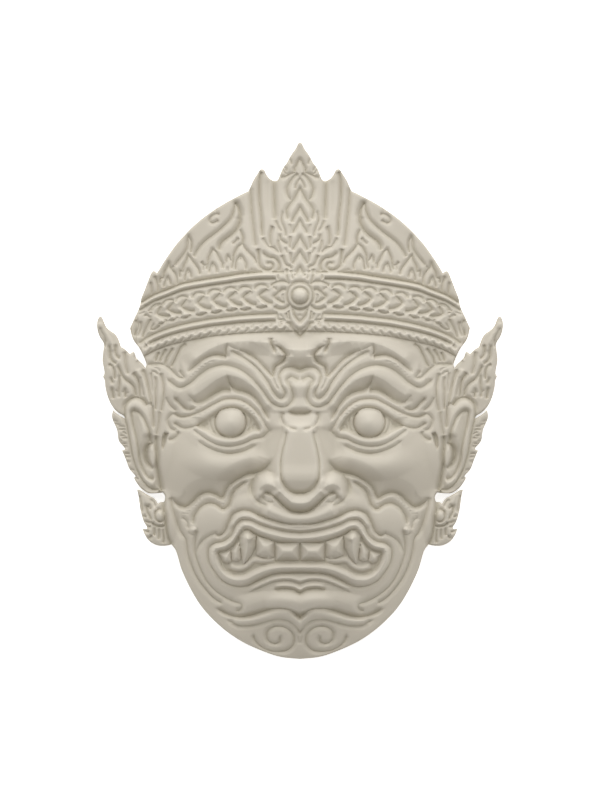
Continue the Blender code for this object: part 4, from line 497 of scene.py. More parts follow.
def eye(relief):
    cut = relief.cut
    upper = [(39.7, 229.7), (43.3, 237), (49.3, 244), (57.3, 249.4), (66.7, 251.8), (76.7, 250.4),
             (85.3, 245.5), (94.7, 239.3), (104, 234.2), (116, 231.7), (124.7, 236), (127.3, 237.3)]
    lower = [(39.7, 229), (46, 229.3), (55.3, 224.7), (64, 221.7), (72, 221.3), (84, 223.7),
             (95.3, 230), (104, 233.8)]
    hole = np.vstack([spline(upper[:9]), spline(lower)[::-1]])
    relief.plate(hole, -5.5, 3)
    relief.mound(98, 236, 12, 6, -1.6, 25, 1)
    # The eyeball is the cap of a sphere, drawn up a little to a soft point. Its top lies
    # above the middle of the ring round it.
    ball_x, top_y, ring_y, ring_radius, ball_radius, cap_radius = 69.4, 239.4, 237.6, 15.2, 20, 17
    win = relief.window((52, 220), (86, 255))
    d2 = (relief.x[win] - ball_x) ** 2 + (relief.y[win] - top_y) ** 2
    in_ring = (relief.x[win] - ball_x) ** 2 + (relief.y[win] - ring_y) ** 2 < ring_radius ** 2
    sphere = np.sqrt(np.clip(ball_radius ** 2 - d2, 0, None))
    cap = 0.55 * (sphere - math.sqrt(ball_radius ** 2 - cap_radius ** 2))
    point = 0.3 * (17.5 - np.sqrt(d2 + 16))
    relief.h[win] += np.where(relief.inside(hole, win) & in_ring, cap + point + 0.6, 0)
    cut(upper, 2.6, 3.2, (1, 3))
    cut(upper[1:9], 0.8, 2.4, (4, 4), 1.5, 5.5)
    cut(lower, 2.0, 3.0, (1, 2))
    cut(arc(ball_x, 237.4, 15.7, 15.2, 0.9, 5.4, 22), 1.9, 2.2)
    # Narrow strands hug the ball on both sides.
    for start, end in ((1.15, 2.7), (3.75, 5.1)):
        cut(arc(ball_x, 238, 20.4, 18, start, end, 12), 1.6, 2.2, (2, 3))
    cut([(44, 236), (47, 233.5), (47, 230)], 1.4, 2.0)
    cut([(48.6, 239.4), (51, 235), (54.4, 230.6)], 1.0, 1.8, (1, 2))
    cut([(91.6, 236.4), (95, 234), (99, 233.6)], 1.2, 2.0, (1, 2))
    cut([(31, 228.7), (37.3, 222.7), (46.7, 220.6), (56.7, 216), (68, 213.4), (80, 214.2),
         (91.3, 219.2), (102, 226.6), (108, 231.3)], 2.4, 3.8, (0, 4))
    cut([(42.7, 215.4), (50.7, 211), (60, 207.4), (73.3, 206.4), (85.3, 209.4), (96, 214.6),
         (103.3, 220.4)], 2.4, 4.2, (5, 6))
    lid = [(31, 228.7), (38.7, 242), (46.7, 251.6), (55.3, 257.9), (65.3, 260.8), (76, 260.2),
           (86.7, 255.2), (96.7, 249.6), (106.7, 245.2), (118, 242.7), (127.3, 245.7), (132.3, 240),
           (129.3, 231.3), (126, 229.7)]
    cut(lid, 2.2, 3.4)
    cut(lid[1:11], 0.8, 2.4, (5, 4), 1.3, 5)
    cut([(30.3, 238.7), (38, 252.7), (46.7, 263.3), (55.3, 268), (64, 270), (69.7, 275.3),
         (73.3, 286.7)], 2.2, 3.6, (4, 5), 3.0, 14)
    cut([(70, 269.9), (77.3, 269.7), (86.7, 265.3), (95.3, 259), (103.3, 257), (109.3, 262.7),
         (112.5, 265.5)], 2.2, 3.6, (0, 4))
    cut([(70, 269.9), (77.3, 269.7), (86.7, 265.3), (95.3, 260), (104, 258), (114, 260)], 0.6, 2.4,
        (0, 4), 3.4, 16)
    cut([(103.3, 252.3), (112, 250), (120.7, 256.7), (126.7, 263.3)], 2.4, 3.6, (3, 4), 1.4, 6)
    cut([(122, 250), (126, 250.7), (132.7, 258.7), (134.7, 264.7)], 2.2, 3.4, (3, 4))
    cut([(121.7, 228.7), (122.7, 224.7), (128.7, 220.3), (132, 221)], 2.6, 3.6, (1, 2))
    relief.plate(np.array([(131, 227), (136, 228), (138.5, 222), (139, 214), (137.5, 208.5),
                           (134.5, 215)]), -4.5, 3)
    hatch(relief, [(85, 254), (96, 247.6), (107, 242)], 3.0)
    hatch(relief, [(84, 263.4), (93, 258.4), (101.7, 253)], 2.6)
    hatch(relief, [(58, 255), (52, 251.6), (46, 246)], 2.2)


def hatch(relief, points, half, gap=2.6, depth=0.9):
    """Fine level ticks across a strand that runs down the face."""
    run = spline(points, 0.5)[::-1]
    for y in np.arange(run[0, 1], run[-1, 1], gap):
        x = np.interp(y, run[:, 1], run[:, 0])
        relief.cut([(x - half, y + 0.3), (x + half, y - 0.3)], depth, 1.6, (1, 1))


def brow(relief):
    cut = relief.cut
    cut([(0, 279.6), (4, 281.3), (8.5, 283), (12.7, 280), (9.7, 273.3), (6.8, 262), (12, 254.3),
         (19.3, 252.7), (28, 256.7), (35.3, 266), (43.3, 276.3), (53.3, 286), (64.7, 292.3),
         (77.3, 294.7), (90, 291.7), (100.7, 284.7), (110, 276.7), (120, 272.2), (129.3, 277.7),
         (134, 282)], 2.9, 4.6, (3, 6))
    cut([(0, 290), (8, 292.7), (16, 291.3), (21, 284), (19.3, 276), (14.8, 266), (18.7, 261),
         (24.7, 265.3), (32.7, 278.7), (43.3, 292), (57.3, 302.7), (70, 309.3)], 2.8, 4.2, (0, 3))
    cut([(0, 288.6), (8, 291.4), (15, 290.6)], 1.2, 3.0, (0, 4), 2.6, 12)
    cut([(27.5, 284), (35.3, 292), (44, 300.7), (53.3, 306.7), (62, 310)], 2.2, 3.6, (0, 3), 2.6, 15)
    cut([(27.3, 283.7), (24.8, 276.5), (21, 269.5)], 1.8, 3.2, (0, 3))
    cut([(62, 310), (68, 312.3), (72.3, 314.7)], 1.6, 3.2)
    cut([(72.3, 314.7), (74, 310), (72.7, 304)], 2.2, 3.2)
    cut([(74, 303.7), (85.3, 304.7), (95.3, 301.3), (104.7, 294), (110, 289.7), (114, 287.2)], 2.2, 3.6,
        (0, 4), 3.0, 15)
    cut([(120.7, 290.5), (118.5, 286), (116.3, 282.3), (121, 282.6), (128, 289), (132, 292.5),
         (137, 295.3), (146, 296), (153, 295.3)], 2.6, 3.6, (3, 2))
    cut([(28.7, 322.3), (29.3, 318), (25.7, 310), (23.8, 305.5)], 2.4, 3.8, (1, 4), 2.6, 8)
    cut([(25.7, 315.3), (18.7, 310.7), (14.3, 304.7), (17.3, 298), (24.7, 292.7), (27.3, 283.7)], 2.6,
        4.0, (3, 0), 3.0, 9)
    cut([(0, 245.8), (5, 246), (9, 247.3), (12.5, 249.8)], 2.2, 3.0, (0, 4), 1.2, 7)
    cut([(2, 230.6), (8, 231.4), (13, 234.6), (16.4, 238.6)], 1.6, 3.4, (3, 2), 1.4, 7)
    cut([(16, 248), (18.6, 242.7), (16.2, 236.3), (10.6, 231.3)], 2.4, 3.4, (2, 3))
    # Fine ticks on the brow tail and on the straps beside it.
    hatch(relief, [(88, 298.6), (98.3, 293.3), (107, 283.6), (112.8, 277.4)], 3.0)
    hatch(relief, [(121, 311.6), (125.4, 303.6), (129.4, 294.6)], 2.2)
    hatch(relief, [(131.4, 308.4), (134.4, 303), (137, 297.4)], 1.8)
    # Four straps running down from the band at the temple.
    for run in ([(113.1, 316.9), (118.9, 312.6), (122.4, 306.1), (126, 298.3), (129.2, 292.6)],
                [(126.3, 312.4), (129.6, 307.6), (133.1, 301.9), (135.4, 294.6)],
                [(133.3, 311.4), (136.7, 306.1), (138.9, 301.9), (140.4, 298)],
                [(140.4, 308.5), (143.1, 303.3), (144.6, 298)]):
        cut(run, 3.2, 3.6, (2, 1))


def band(relief):
    # The crown band stands proud of the brow.
    low = band_line(0.0, 0, 164)
    high = band_line(1.0, 0, 164)
    relief.plate(np.vstack([low[::-1], low[:1] * [-1, 1] + [-20, 0], high[:1] * [-1, 1] + [-20, 0],
                            high]), 2.6, 2.4)
    # Rounded mouldings along both edges, then the grooves between them.
    for part, height, start in ((0.24, 1.6, 24), (0.94, 1.6, 24), (0.09, 1.2, 10)):
        relief.swell(band_line(part, start, 156), height, 3.2, (3, 2))
    cut = relief.cut
    cut(band_line(0.0, 7.5, 154), 1.4, 3.4)
    cut(band_line(0.178, 24, 150), 3.0, 3.6, (1, 0))
    cut(band_line(0.30, 22, 160), 3.2, 4.2, (1, 0))
    cut(band_line(0.885, 24, 160), 3.2, 3.8, (1, 0))
    cut(band_line(1.0, 44, 158), 3.2, 3.8, (2, 0))
    cut([(36.5, 388), (41, 387.6), (46, 387.3)], 2.6, 3.4, (2, 0))
    cut([(28.5, 387.8), (24, 388), (20.5, 387.4), (15.3, 386.7)], 2.6, 3.2, (1, 1))
    rope(relief)
    chain(relief)
    end_piece(relief)
    medallion(relief)


def rope(relief):
    x, end, wide_gap, close_gap, close_from = 15.3, 152, 9.4, 8.2, 105
    while x < end:
        lo, h = band_low(x), band_high(x) - band_low(x)
        # A slanted mark over each turn and a small notch at its foot.
        relief.cut([(x + 2.6, lo + 0.15 * h), (x + 4.2, lo + 0.115 * h), (x + 5.4, lo + 0.07 * h)], 1.9,
                   3.0, (1, 1))
        relief.cut([(x - 0.6, lo + 0.065 * h), (x + 0.6, lo + 0.035 * h), (x + 1.6, lo + 0.02 * h)],
                   2.2, 2.6)
        x += wide_gap if x < close_from else close_gap


def chain(relief):
    # One link, measured from the point of its fold.
    bow = [(5.2, 6.5), (2.8, 9.3), (-0.5, 11.2), (-4, 11.2), (-7.5, 9.8), (-9.6, 7.4)]
    fold = [(-8.8, 7.3), (-4.6, 4.4), (-0.6, 0.5), (-2.2, -1.7), (-6.2, -4.9), (-10.3, -6.9),
            (-14, -7.2)]
    lobe = [(3.5, -10.3), (0.5, -12), (-3, -12.2), (-6.3, -11), (-8, -9.6)]
    links = [(40.9, 363.8, 0), (57.2, 361.7, -2), (71.6, 360.8, -4), (87, 358.6, -7), (102.5, 356, -9),
             (118.8, 352.6, -14), (131.8, 349.5, -18), (142.8, 345.4, -24)]
    for i, (x, y, turn) in enumerate(links):
        cs, sn = math.cos(math.radians(turn)), math.sin(math.radians(turn))
        size = 1.0 if i < 4 else 1.0 - 0.035 * (i - 3)
        for run, depth, width in ((bow, 2.7, 3.4), (fold, 3.0, 3.8), (lobe, 2.4, 3.0)):
            turned = [(x + size * (u * cs - v * sn), y + size * (u * sn + v * cs)) for u, v in run]
            relief.cut(turned, depth, width, (1, 1))
        relief.mound(x - 7.5, y + 8.0, 5.5, 3.4, 1.4, -20 + turn, 1)
        relief.mound(x - 2.5, y - 8.6, 5.0, 2.8, 1.2, -15 + turn, 1)
        relief.swell([(x + 1.5, y - 0.5), (x - 4, y - 6.5), (x - 9, y - 9)], 1.0, 2.6, (1, 2))


def end_piece(relief):
    cut = relief.cut
    cut([(151.8, 347.9), (148.9, 351.1), (145.3, 353.6), (140.3, 354.5)], 2.4, 2.8, (1, 1))
    cut([(151.5, 347.2), (147.4, 347)], 2.0, 2.4, (1, 1))
    cut([(160.5, 346.2), (156, 347.6)], 1.8, 2.4)
    cut([(156.4, 343.8), (153.9, 344.7), (150.2, 342.4)], 2.2, 2.6, (1, 0))
    cut([(148.9, 341.3), (151, 336.9), (153.9, 331.1), (156, 326.9), (157.5, 321.6)], 2.8, 3.4, (1, 1))
    cut([(160.3, 338.6), (158.9, 334), (160.3, 328.3), (162.4, 323.3)], 2.4, 3.2, (1, 1))
    cut([(164.7, 340), (162.1, 336.1), (162.3, 331.1), (164.2, 327.6), (165.4, 323.8)], 2.4, 2.8,
        (1, 1))
    cut([(150.3, 331.1), (146.7, 330.3), (143.1, 331.5), (139.6, 335.4), (136.7, 337.8)], 2.6, 3.0,
        (1, 1))
    cut([(146.6, 335.6), (149, 331.7)], 2.2, 2.6)


def medallion(relief):
    cut = relief.cut
    relief.mound(0, 364, 13.5, 13.5, 3.2, 0, 0.6)
    cut(arc(0, 364, 13.2, 13.2, 0, math.pi, 19), 2.6, 3.0)
    cut([(0, 378.2), (4.5, 377.8), (8, 376)], 2.4, 3.0)
    cut([(0, 350), (4.5, 350.8), (8, 352.8)], 2.8, 3.4)
    cut(arc(0, 364, 8.5, 8.5, 0, math.pi, 19), 3.0, 3.8)
    relief.mound(0, 364.5, 8, 8, 3.4, 0, 0.9)
    # Side petal, with the lobes over and under it.
    cut([(13.6, 370), (17, 370.3), (21, 368), (24, 364.9), (25.7, 363.6), (24, 361.3), (21, 359.3),
         (18, 357.7), (14.8, 357.3)], 3.0, 3.6, (1, 1))
    cut([(16.8, 366.5), (17.8, 362.5), (16.4, 359.5)], 1.6, 2.6, (1, 1))
    cut([(29.2, 373.6), (27.6, 375.4), (24.5, 377.2), (20, 378.4), (14, 378.1), (9.8, 375.8)], 2.8, 3.2,
        (1, 1))
    cut([(27.4, 373.1), (24.6, 371.4), (23, 369)], 2.2, 2.8, (1, 1))
    cut([(26.6, 353.6), (23.5, 351.8), (20.5, 350.7), (15.5, 351.2), (12.4, 353), (10.6, 355.7)], 3.0,
        3.8, (2, 1))
    # Drop over the petal and leaf under it.
    cut([(21.6, 386), (22.3, 382.5), (21, 379.4)], 2.0, 2.6, (1, 1))
    cut([(23.6, 346.4), (22.6, 343.5), (22.2, 340.8), (18.5, 340.2), (15, 340.6)], 2.2, 2.8, (1, 1))
    cut([(13.8, 347.4), (13.2, 343.8), (12, 340.3)], 2.2, 2.8, (1, 1))
    cut([(19.6, 344.6), (17.8, 342.8)], 1.8, 2.6)
    cut([(19, 338.2), (15.2, 339.4)], 2.0, 2.4)
    # Pendant.
    relief.swell([(9, 349), (8.3, 343.5), (4.5, 337.5), (0, 333)], 1.6, 3.2, (1, 0))
    cut([(6.9, 351.6), (6.2, 347), (4.2, 342.8), (0, 338)], 2.8, 3.4, (1, 0))
    cut([(0, 345), (2, 343.6)], 1.8, 2.6)
    cut([(12.4, 336.8), (9.8, 336.2), (8.7, 333.6), (7, 331), (4, 327.8), (2, 325.4), (0, 323.8)], 3.0,
        3.4)
    cut([(11.2, 349.5), (11, 344), (10, 339.6)], 2.4, 2.8, (1, 1))
    cut([(0, 331.2), (1.8, 330), (3.6, 331.8)], 1.8, 2.4)
    cut([(0, 328.4), (0, 326.6)], 1.4, 2.2)


def crown(relief):
    cut = relief.cut
    relief.mound(0, 428, 22, 84, 3, 0, 1)
    # Finial leaf with its notched edge and small inner flame.
    cut([(0, 500.5), (2, 498), (4, 494), (5.6, 490.8), (5.2, 487.8)], 2.6, 3.4, (0, 1))
    cut([(19.5, 482.3), (15.5, 482.8), (12, 484.6), (8, 486.3), (4.5, 487.6)], 2.4, 3.2, (1, 1))
    cut([(13, 485), (15.2, 487.5), (16.6, 489.5)], 1.8, 2.2, (1, 0))
    cut([(8.2, 495), (9, 498.5), (10.8, 501.5)], 2.0, 2.4, (1, 0))
    cut([(13.2, 488.5), (14.2, 491), (15.6, 492.6)], 2.0, 2.2, (1, 0))
    # Lobed drop under the finial.
    cut([(1.5, 486.2), (5, 484), (8.3, 480.3), (11, 476), (13, 471.5), (12.9, 467), (11.5, 463),
         (8.8, 459.3)], 2.8, 4.2, (1, 1))
    cut([(0, 481), (2, 478.5), (4, 474.5), (4.5, 470.8)], 2.4, 3.2, (0, 1))
    # Nested leaves down the middle.
    cut([(0, 471.7), (3, 466), (6, 460.5), (9, 456.5), (12, 452.5), (13.6, 449), (13.2, 445),
         (12, 440.5)], 3.0, 4.6, (0, 1))
    cut([(0, 452.5), (2, 449), (4.5, 445), (7, 441), (8.2, 437.3)], 3.0, 4.2, (0, 1))
    cut([(0, 439.5), (3, 434), (6, 429.5), (7.3, 426.3)], 2.8, 4.0, (0, 1))
    cut([(0, 422.5), (3, 417), (6, 412.5), (7.4, 409.3)], 2.8, 4.0, (0, 1))
    cut([(0, 408), (3, 403.5), (6, 399), (7.9, 395.8)], 2.8, 4.0, (0, 1))
    cut([(0, 392.5), (3, 387.5), (5.8, 383.8)], 2.8, 3.8, (0, 1))
    # Flame border of the middle leaf.
    cut([(17, 447.3), (18.6, 442), (18.3, 437), (16.5, 433), (14.7, 428), (14, 423.3)], 2.4, 3.2,
        (0, 1))
    cut([(24.2, 438.5), (21.5, 432.5), (18.3, 428.3)], 2.4, 3.0, (0, 1))
    cut([(10.2, 436), (9.4, 430), (9.8, 425)], 1.6, 3.0, (1, 1))
    cut([(20, 424), (20, 421), (17, 418.3), (14, 416.6), (12.3, 415.8)], 2.6, 3.2, (0, 1))
    cut([(10.4, 424), (10, 419), (10.6, 414.5), (9.4, 411.5)], 2.2, 3.0, (1, 1))
    cut([(20.8, 420.5), (21.5, 414), (20.2, 409.7), (19, 406.5)], 2.2, 3.0, (1, 1))
    cut([(15, 412.6), (13.8, 409), (12, 406.3)], 1.8, 2.6, (1, 1))
    cut([(18.4, 405), (16.6, 400), (14.7, 396), (12.5, 394), (10, 393.6), (8.3, 390.8)], 2.6, 3.2,
        (1, 1))
    cut([(9.8, 408), (9.4, 402), (9, 397.5)], 2.2, 3.0, (1, 1))
    cut([(13.2, 391.5), (13.2, 386), (12.4, 380), (11.6, 375)], 2.4, 3.0, (1, 1))
    cut([(9.4, 390), (8.4, 385), (7, 380.5)], 2.0, 2.6, (1, 1))
    # Outer leaf and its scroll.
    cut([(27, 434), (29.3, 427), (30, 420), (29, 414.2)], 2.6, 3.6, (1, 1))
    cut([(37.6, 422.3), (35.2, 418.5), (32.6, 414.6), (31.2, 412.8)], 2.2, 2.8, (1, 0))
    cut([(30.5, 413.4), (26, 411.6), (22.2, 408.2)], 2.6, 3.4, (1, 0))
    cut([(36.2, 406.2), (33, 403.7), (30, 402.4), (27, 402.1), (23.5, 400.3), (21, 396.5), (20.6, 392),
         (21.8, 388.5)], 3.0, 3.8, (0, 1))
    cut([(32, 396.7), (29.5, 397), (27.3, 395.3), (27, 392.5), (29.5, 390.2), (34, 389.8), (38, 391.5),
         (40.3, 394.5), (41.3, 400), (41.4, 406), (42, 411.5)], 3.0, 3.6, (0, 1))
    cut([(43, 389), (47, 389.5), (50, 391)], 1.6, 2.6, (1, 1))
    # Posts.
    cut([(38.4, 488.5), (40.1, 483.5), (40.8, 475), (40.8, 465), (40.3, 455), (39.3, 448), (38.6, 440),
         (38.3, 430), (37.7, 423.5)], 3.0, 3.8, (1, 1))
    cut([(25.8, 479), (25.8, 465), (25.3, 455), (25.1, 447), (25, 440)], 3.2, 4.6, (0, 2))
    cut([(49.7, 469), (49, 458), (48.3, 448), (47, 436), (45.8, 425), (44.3, 413)], 2.8, 4.4, (0, 2))
    cut([(32, 481), (32.6, 465), (32.6, 445)], 0.7, 5.0, (3, 6))
    # Tall curved flame.
    cut([(64.8, 457), (65.4, 451.4), (66.9, 447), (68.7, 442.5), (71.4, 438.7), (75.3, 434.8),
         (78.7, 431.4), (82.6, 428.1), (87, 424.8), (91.5, 421.5), (96, 417.8), (99.5, 414),
         (102.5, 410), (105.2, 405.5), (107, 402.2)], 2.9, 3.8, (0, 2))
    cut([(64.8, 457), (61.7, 452.6), (60.1, 448.1), (59.7, 443.1), (60.1, 438.1), (61.7, 433.7),
         (64.4, 429), (68.4, 425), (73, 421.7), (77.6, 418), (80.3, 414.2), (81.5, 408.8)], 3.1, 4.8,
        (0, 2), 1.2, 7)
    cut([(80, 445.2), (83.7, 445.9), (87.5, 444.3), (90, 441.5), (90.2, 438.5), (88, 436.6),
         (85, 437.5), (81, 439.8)], 2.2, 2.8, (1, 1))
    cut([(83.6, 446), (84, 449), (84, 452)], 1.4, 2.4, (1, 1))
    # Second flame, with its vein.
    cut([(59.9, 429.6), (58.2, 426), (57, 422), (57.2, 417.5), (58, 415)], 2.8, 3.4)
    cut([(61.2, 422.3), (64.2, 418.6), (67.8, 415.8)], 2.4, 3.0, (1, 1))
    # Slender flame over the third leaf.
    cut([(111.4, 423.6), (112.4, 418.6), (112.7, 413.6), (115.1, 407.4), (118.3, 403), (122, 398.6),
         (125.4, 394.3)], 2.6, 3.2, (0, 1))
    cut([(111.2, 423), (109.2, 419.3), (108.5, 414.3), (109.2, 407)], 2.6, 3.0, (0, 1))
    flame_row(relief)


def flame_row(relief):
    cut = relief.cut
    # Each leaf: outer side, inner side, then the arch round its drop.
    leaves = [[[(57.5, 416), (62, 413.1), (64.4, 409.2), (66.5, 404.2), (67, 397.3), (68.5, 391)],
               [(57.5, 416), (55.6, 412.8), (53, 409.2), (49.2, 405.3), (45, 401), (43.2, 396)],
               [(64.4, 389.5), (64.4, 395.3), (62.6, 400.6), (59.2, 403.9), (56, 400), (54, 394.8),
                (53.8, 389.5)]],
              [[(87.3, 410.4), (89.6, 406), (91.6, 401), (92.4, 396), (93.6, 390)],
               [(87.3, 410.4), (84, 408.2), (82, 404.2), (79.8, 399.8), (77.8, 396.6), (77, 391)],
               [(91, 386.5), (90, 391.8), (87.4, 396.3), (84.3, 392.6), (82.8, 387)]],
              [[(112, 404.8), (113.9, 398.6), (116.5, 393.6), (117.5, 388.3), (119.6, 388.8),
                (120.4, 382)],
               [(112, 404.8), (108.2, 399.9), (104.5, 394.9), (101.4, 390.5), (100, 385)],
               [(115.3, 378.5), (115, 383), (113.5, 387.4), (111.7, 390), (109.5, 386.6),
                (108.6, 381.5)]],
              [[(131.2, 397), (133.3, 391.8), (135.8, 387.4), (136.8, 381.8), (139.4, 381.3),
                (140.3, 376)],
               [(131.2, 397), (130.4, 393), (127.6, 389.9), (124.5, 385.5), (123, 380.5), (123.2, 375)],
               [(136.2, 372.3), (134.9, 377.4), (132.4, 382.6), (130.1, 378.6), (128.9, 374.5)]]]
    for outer, inner, arch in leaves:
        cut(outer, 2.7, 3.2, (0, 1))
        cut(inner, 2.7, 3.2, (0, 1))
        cut(arch, 2.5, 2.8, (1, 1))
        top = arch[len(arch) // 2]
        cut([top, (top[0] + 0.3, top[1] - 3)], 2.6, 3.0)
    # Small buds between the leaves.
    cut([(74.2, 396.5), (73.5, 401), (72, 404.3), (70, 401), (67, 397.6)], 2.4, 2.8, (1, 0))
    cut([(78, 397), (75.3, 396.2)], 2.0, 2.6)
    cut([(72.5, 393.5), (72, 388)], 1.6, 2.4, (1, 1))
    cut([(99, 398.5), (96.3, 395), (93.2, 394.4)], 2.4, 2.8, (1, 0))
    cut([(96.6, 394), (97.2, 389)], 1.8, 2.4, (0, 1))
    cut([(128.4, 391.6), (126.5, 393.5)], 2.2, 2.6)
    # Last leaf, at the end of the band.
    cut([(145.4, 384), (143.2, 378.6), (141.8, 373), (142, 367)], 2.4, 3.0, (1, 1))
    cut([(149.4, 378), (149, 373.6), (148.2, 369.8), (148.6, 364)], 2.2, 2.6, (1, 1))


def ear(relief):
    cut = relief.cut
    # Groove between the face and the ear.
    cut([(143.6, 226), (144.2, 215), (143.4, 205), (143.2, 196), (141.8, 187), (140.4, 178),
         (138.6, 169)], 4.2, 4.8, (4, 1))
    cut([(140, 250), (141, 241), (142.4, 232), (143.8, 224)], 2.4, 3.4, (3, 2))
    cut([(147.2, 256), (147, 247), (146.6, 239), (146.4, 231)], 2.8, 3.4, (3, 3))
    # Rim of the ear, with its outer and inner grooves.
    relief.swell([(152, 222), (154.5, 238), (159, 250), (166, 255), (171, 250), (170.5, 238),
                  (167.5, 222), (164, 205), (158.5, 188), (151, 177), (144, 175)], 2.6, 6.5, (6, 4))
    cut([(149.6, 217), (150, 223), (150.8, 229), (152.8, 234), (155.2, 239.5), (158, 244), (161, 247),
         (164.6, 248.8), (168, 248.2), (167.6, 241), (166, 232), (163.6, 222), (162, 214), (161, 207),
         (159.8, 200), (158.2, 194), (155.4, 187.6), (152, 183), (149, 181.2), (145.8, 181)], 3.2, 3.8,
        (1, 1))
    cut([(152.5, 254.5), (155.5, 258.5), (160, 261.6), (164.5, 262.4), (168.6, 261.2), (172.6, 258),
         (175, 253.6), (175.6, 247), (174.8, 240), (173, 234), (172, 228), (170.6, 221), (169, 213),
         (167.6, 205), (165.4, 197), (163, 190), (159.6, 183), (155.6, 177), (151, 172.4), (146, 170.2),
         (140.5, 170.4)], 3.2, 3.8, (1, 1))
    # Bowl of the ear with the lobe that stands in it.
    relief.mound(154, 203, 9, 24, -3.0, 10, 1)
    relief.mound(160, 224, 9, 20, 1.6, 10, 1)
    relief.mound(147.6, 204, 5.0, 13, 3.6, -4, 0.8)
    cut([(146.4, 216.6), (150, 216), (152.8, 213), (154.6, 208), (154.4, 203), (152.6, 198),
         (149.6, 194), (146.4, 191.4)], 3.6, 3.8, (1, 1))
    cut([(147.4, 210), (147, 203), (146.2, 196)], 1.2, 2.2, (2, 2))
    # Flames above the ear.
    cut([(190.4, 313), (190, 308), (189.8, 303), (188, 299), (185.8, 297.4), (183.6, 295.6)], 3.0, 3.4,
        (0, 1))
    cut([(183.9, 316), (184.6, 311), (184.2, 306), (182.6, 303), (180, 301)], 2.8, 3.2, (2, 1))
    cut([(175.4, 309), (174.6, 303), (174.6, 298), (174, 293), (173, 289), (171.6, 285)], 2.6, 4.0,
        (2, 2))
    cut([(191.8, 295.6), (188.2, 294), (186, 290), (185.2, 285), (185.4, 280.5)], 2.8, 3.2, (1, 1))
    cut([(181.8, 292.8), (180, 289), (178.4, 285), (176, 281.6), (173, 279), (170, 277), (167.4, 274.4),
         (165.4, 271), (164.4, 267), (163.8, 263.6)], 3.0, 3.6, (0, 1))
    cut([(180, 285.4), (180.4, 279), (180.8, 273), (181.4, 268), (180.8, 262)], 2.6, 3.0, (1, 2))
    cut([(167.2, 287.2), (164.6, 284), (162.4, 281), (161, 277), (160.4, 272), (160.4, 266),
         (160, 262)], 2.8, 3.4, (1, 1))
    cut([(188, 270.6), (187.2, 266), (186.4, 261)], 3.0, 3.2, (0, 1))
    cut([(175.2, 270), (174.8, 266), (174.4, 262)], 2.8, 3.0, (0, 1))
    cut([(177, 268), (172.8, 267)], 2.2, 2.4)
    cut([(188.8, 281), (187.6, 277.4)], 2.8, 2.8)
    cut([(183.2, 269), (181.6, 267.4)], 2.4, 2.6)
    cut([(200.4, 333), (198.4, 328), (195.6, 323.4), (194.4, 318), (195.2, 312)], 2.2, 3.2, (2, 2))
    relief.swell([(200.6, 338), (198, 330), (193.6, 324), (189.6, 318), (187.6, 308)], 1.6, 3.6, (2, 3))
    relief.swell([(162.4, 292), (159.8, 284), (156, 276), (153, 266), (150.6, 256)], 1.8, 3.4, (3, 2))
    cut([(157.2, 291), (154.6, 284), (152.4, 276), (150.6, 267), (149.2, 260), (148.6, 253)], 2.6, 3.4,
        (2, 1))
    cut([(160.4, 284), (158.4, 277), (157.4, 270), (157.2, 263)], 1.6, 3.0, (2, 2))
    # Strands between the temple and the ear.
    cut([(148.8, 287.4), (146.4, 288.2), (144, 287), (141.4, 284.4)], 2.0, 2.6, (1, 2))
    cut([(148.8, 287.6), (148.6, 281), (148, 274), (147.8, 266)], 1.8, 3.0, (1, 3))
    cut([(145, 284.6), (144, 276), (144.8, 268), (144.4, 258), (144.6, 249)], 2.4, 3.0, (3, 2))
    cut([(139.8, 287.2), (137.2, 278), (136.4, 266), (137.6, 255), (139.6, 247)], 2.6, 3.6, (2, 3))
    cut([(152, 296.2), (148, 294.8), (140, 295.4)], 2.6, 2.8, (1, 1))
    cut([(147.2, 293), (142, 290.8), (140, 288)], 1.4, 2.2, (1, 1))
    # Small notches down the outer edge.
    for y, x0, x1, drop in ((239.4, 186.6, 183.4, 1.2), (236.2, 184.4, 181, 1.4),
                            (233.4, 180.4, 174.8, 0.2), (230.4, 180, 174.6, 0),
                            (227.6, 176.8, 172, 2.6), (224.2, 178.4, 176.4, 0),
                            (221.6, 177, 171.8, -0.4), (219, 180.6, 178.4, 0.4),
                            (216.6, 178.6, 174.6, 0.6), (213.6, 176.4, 173, 0.2),
                            (206.4, 175.2, 170.6, 0.2), (203, 175.6, 169.8, 0), (198.8, 172.8, 171, 1),
                            (190.4, 169.4, 166, 0.6), (181.8, 164.4, 162, 0.6)):
        cut([(x0, y), ((x0 + x1) / 2, y - drop * 0.4), (x1, y - drop)], 2.0, 2.3)
    cut([(178.2, 210.2), (177.2, 206), (175.6, 202)], 1.6, 2.2)


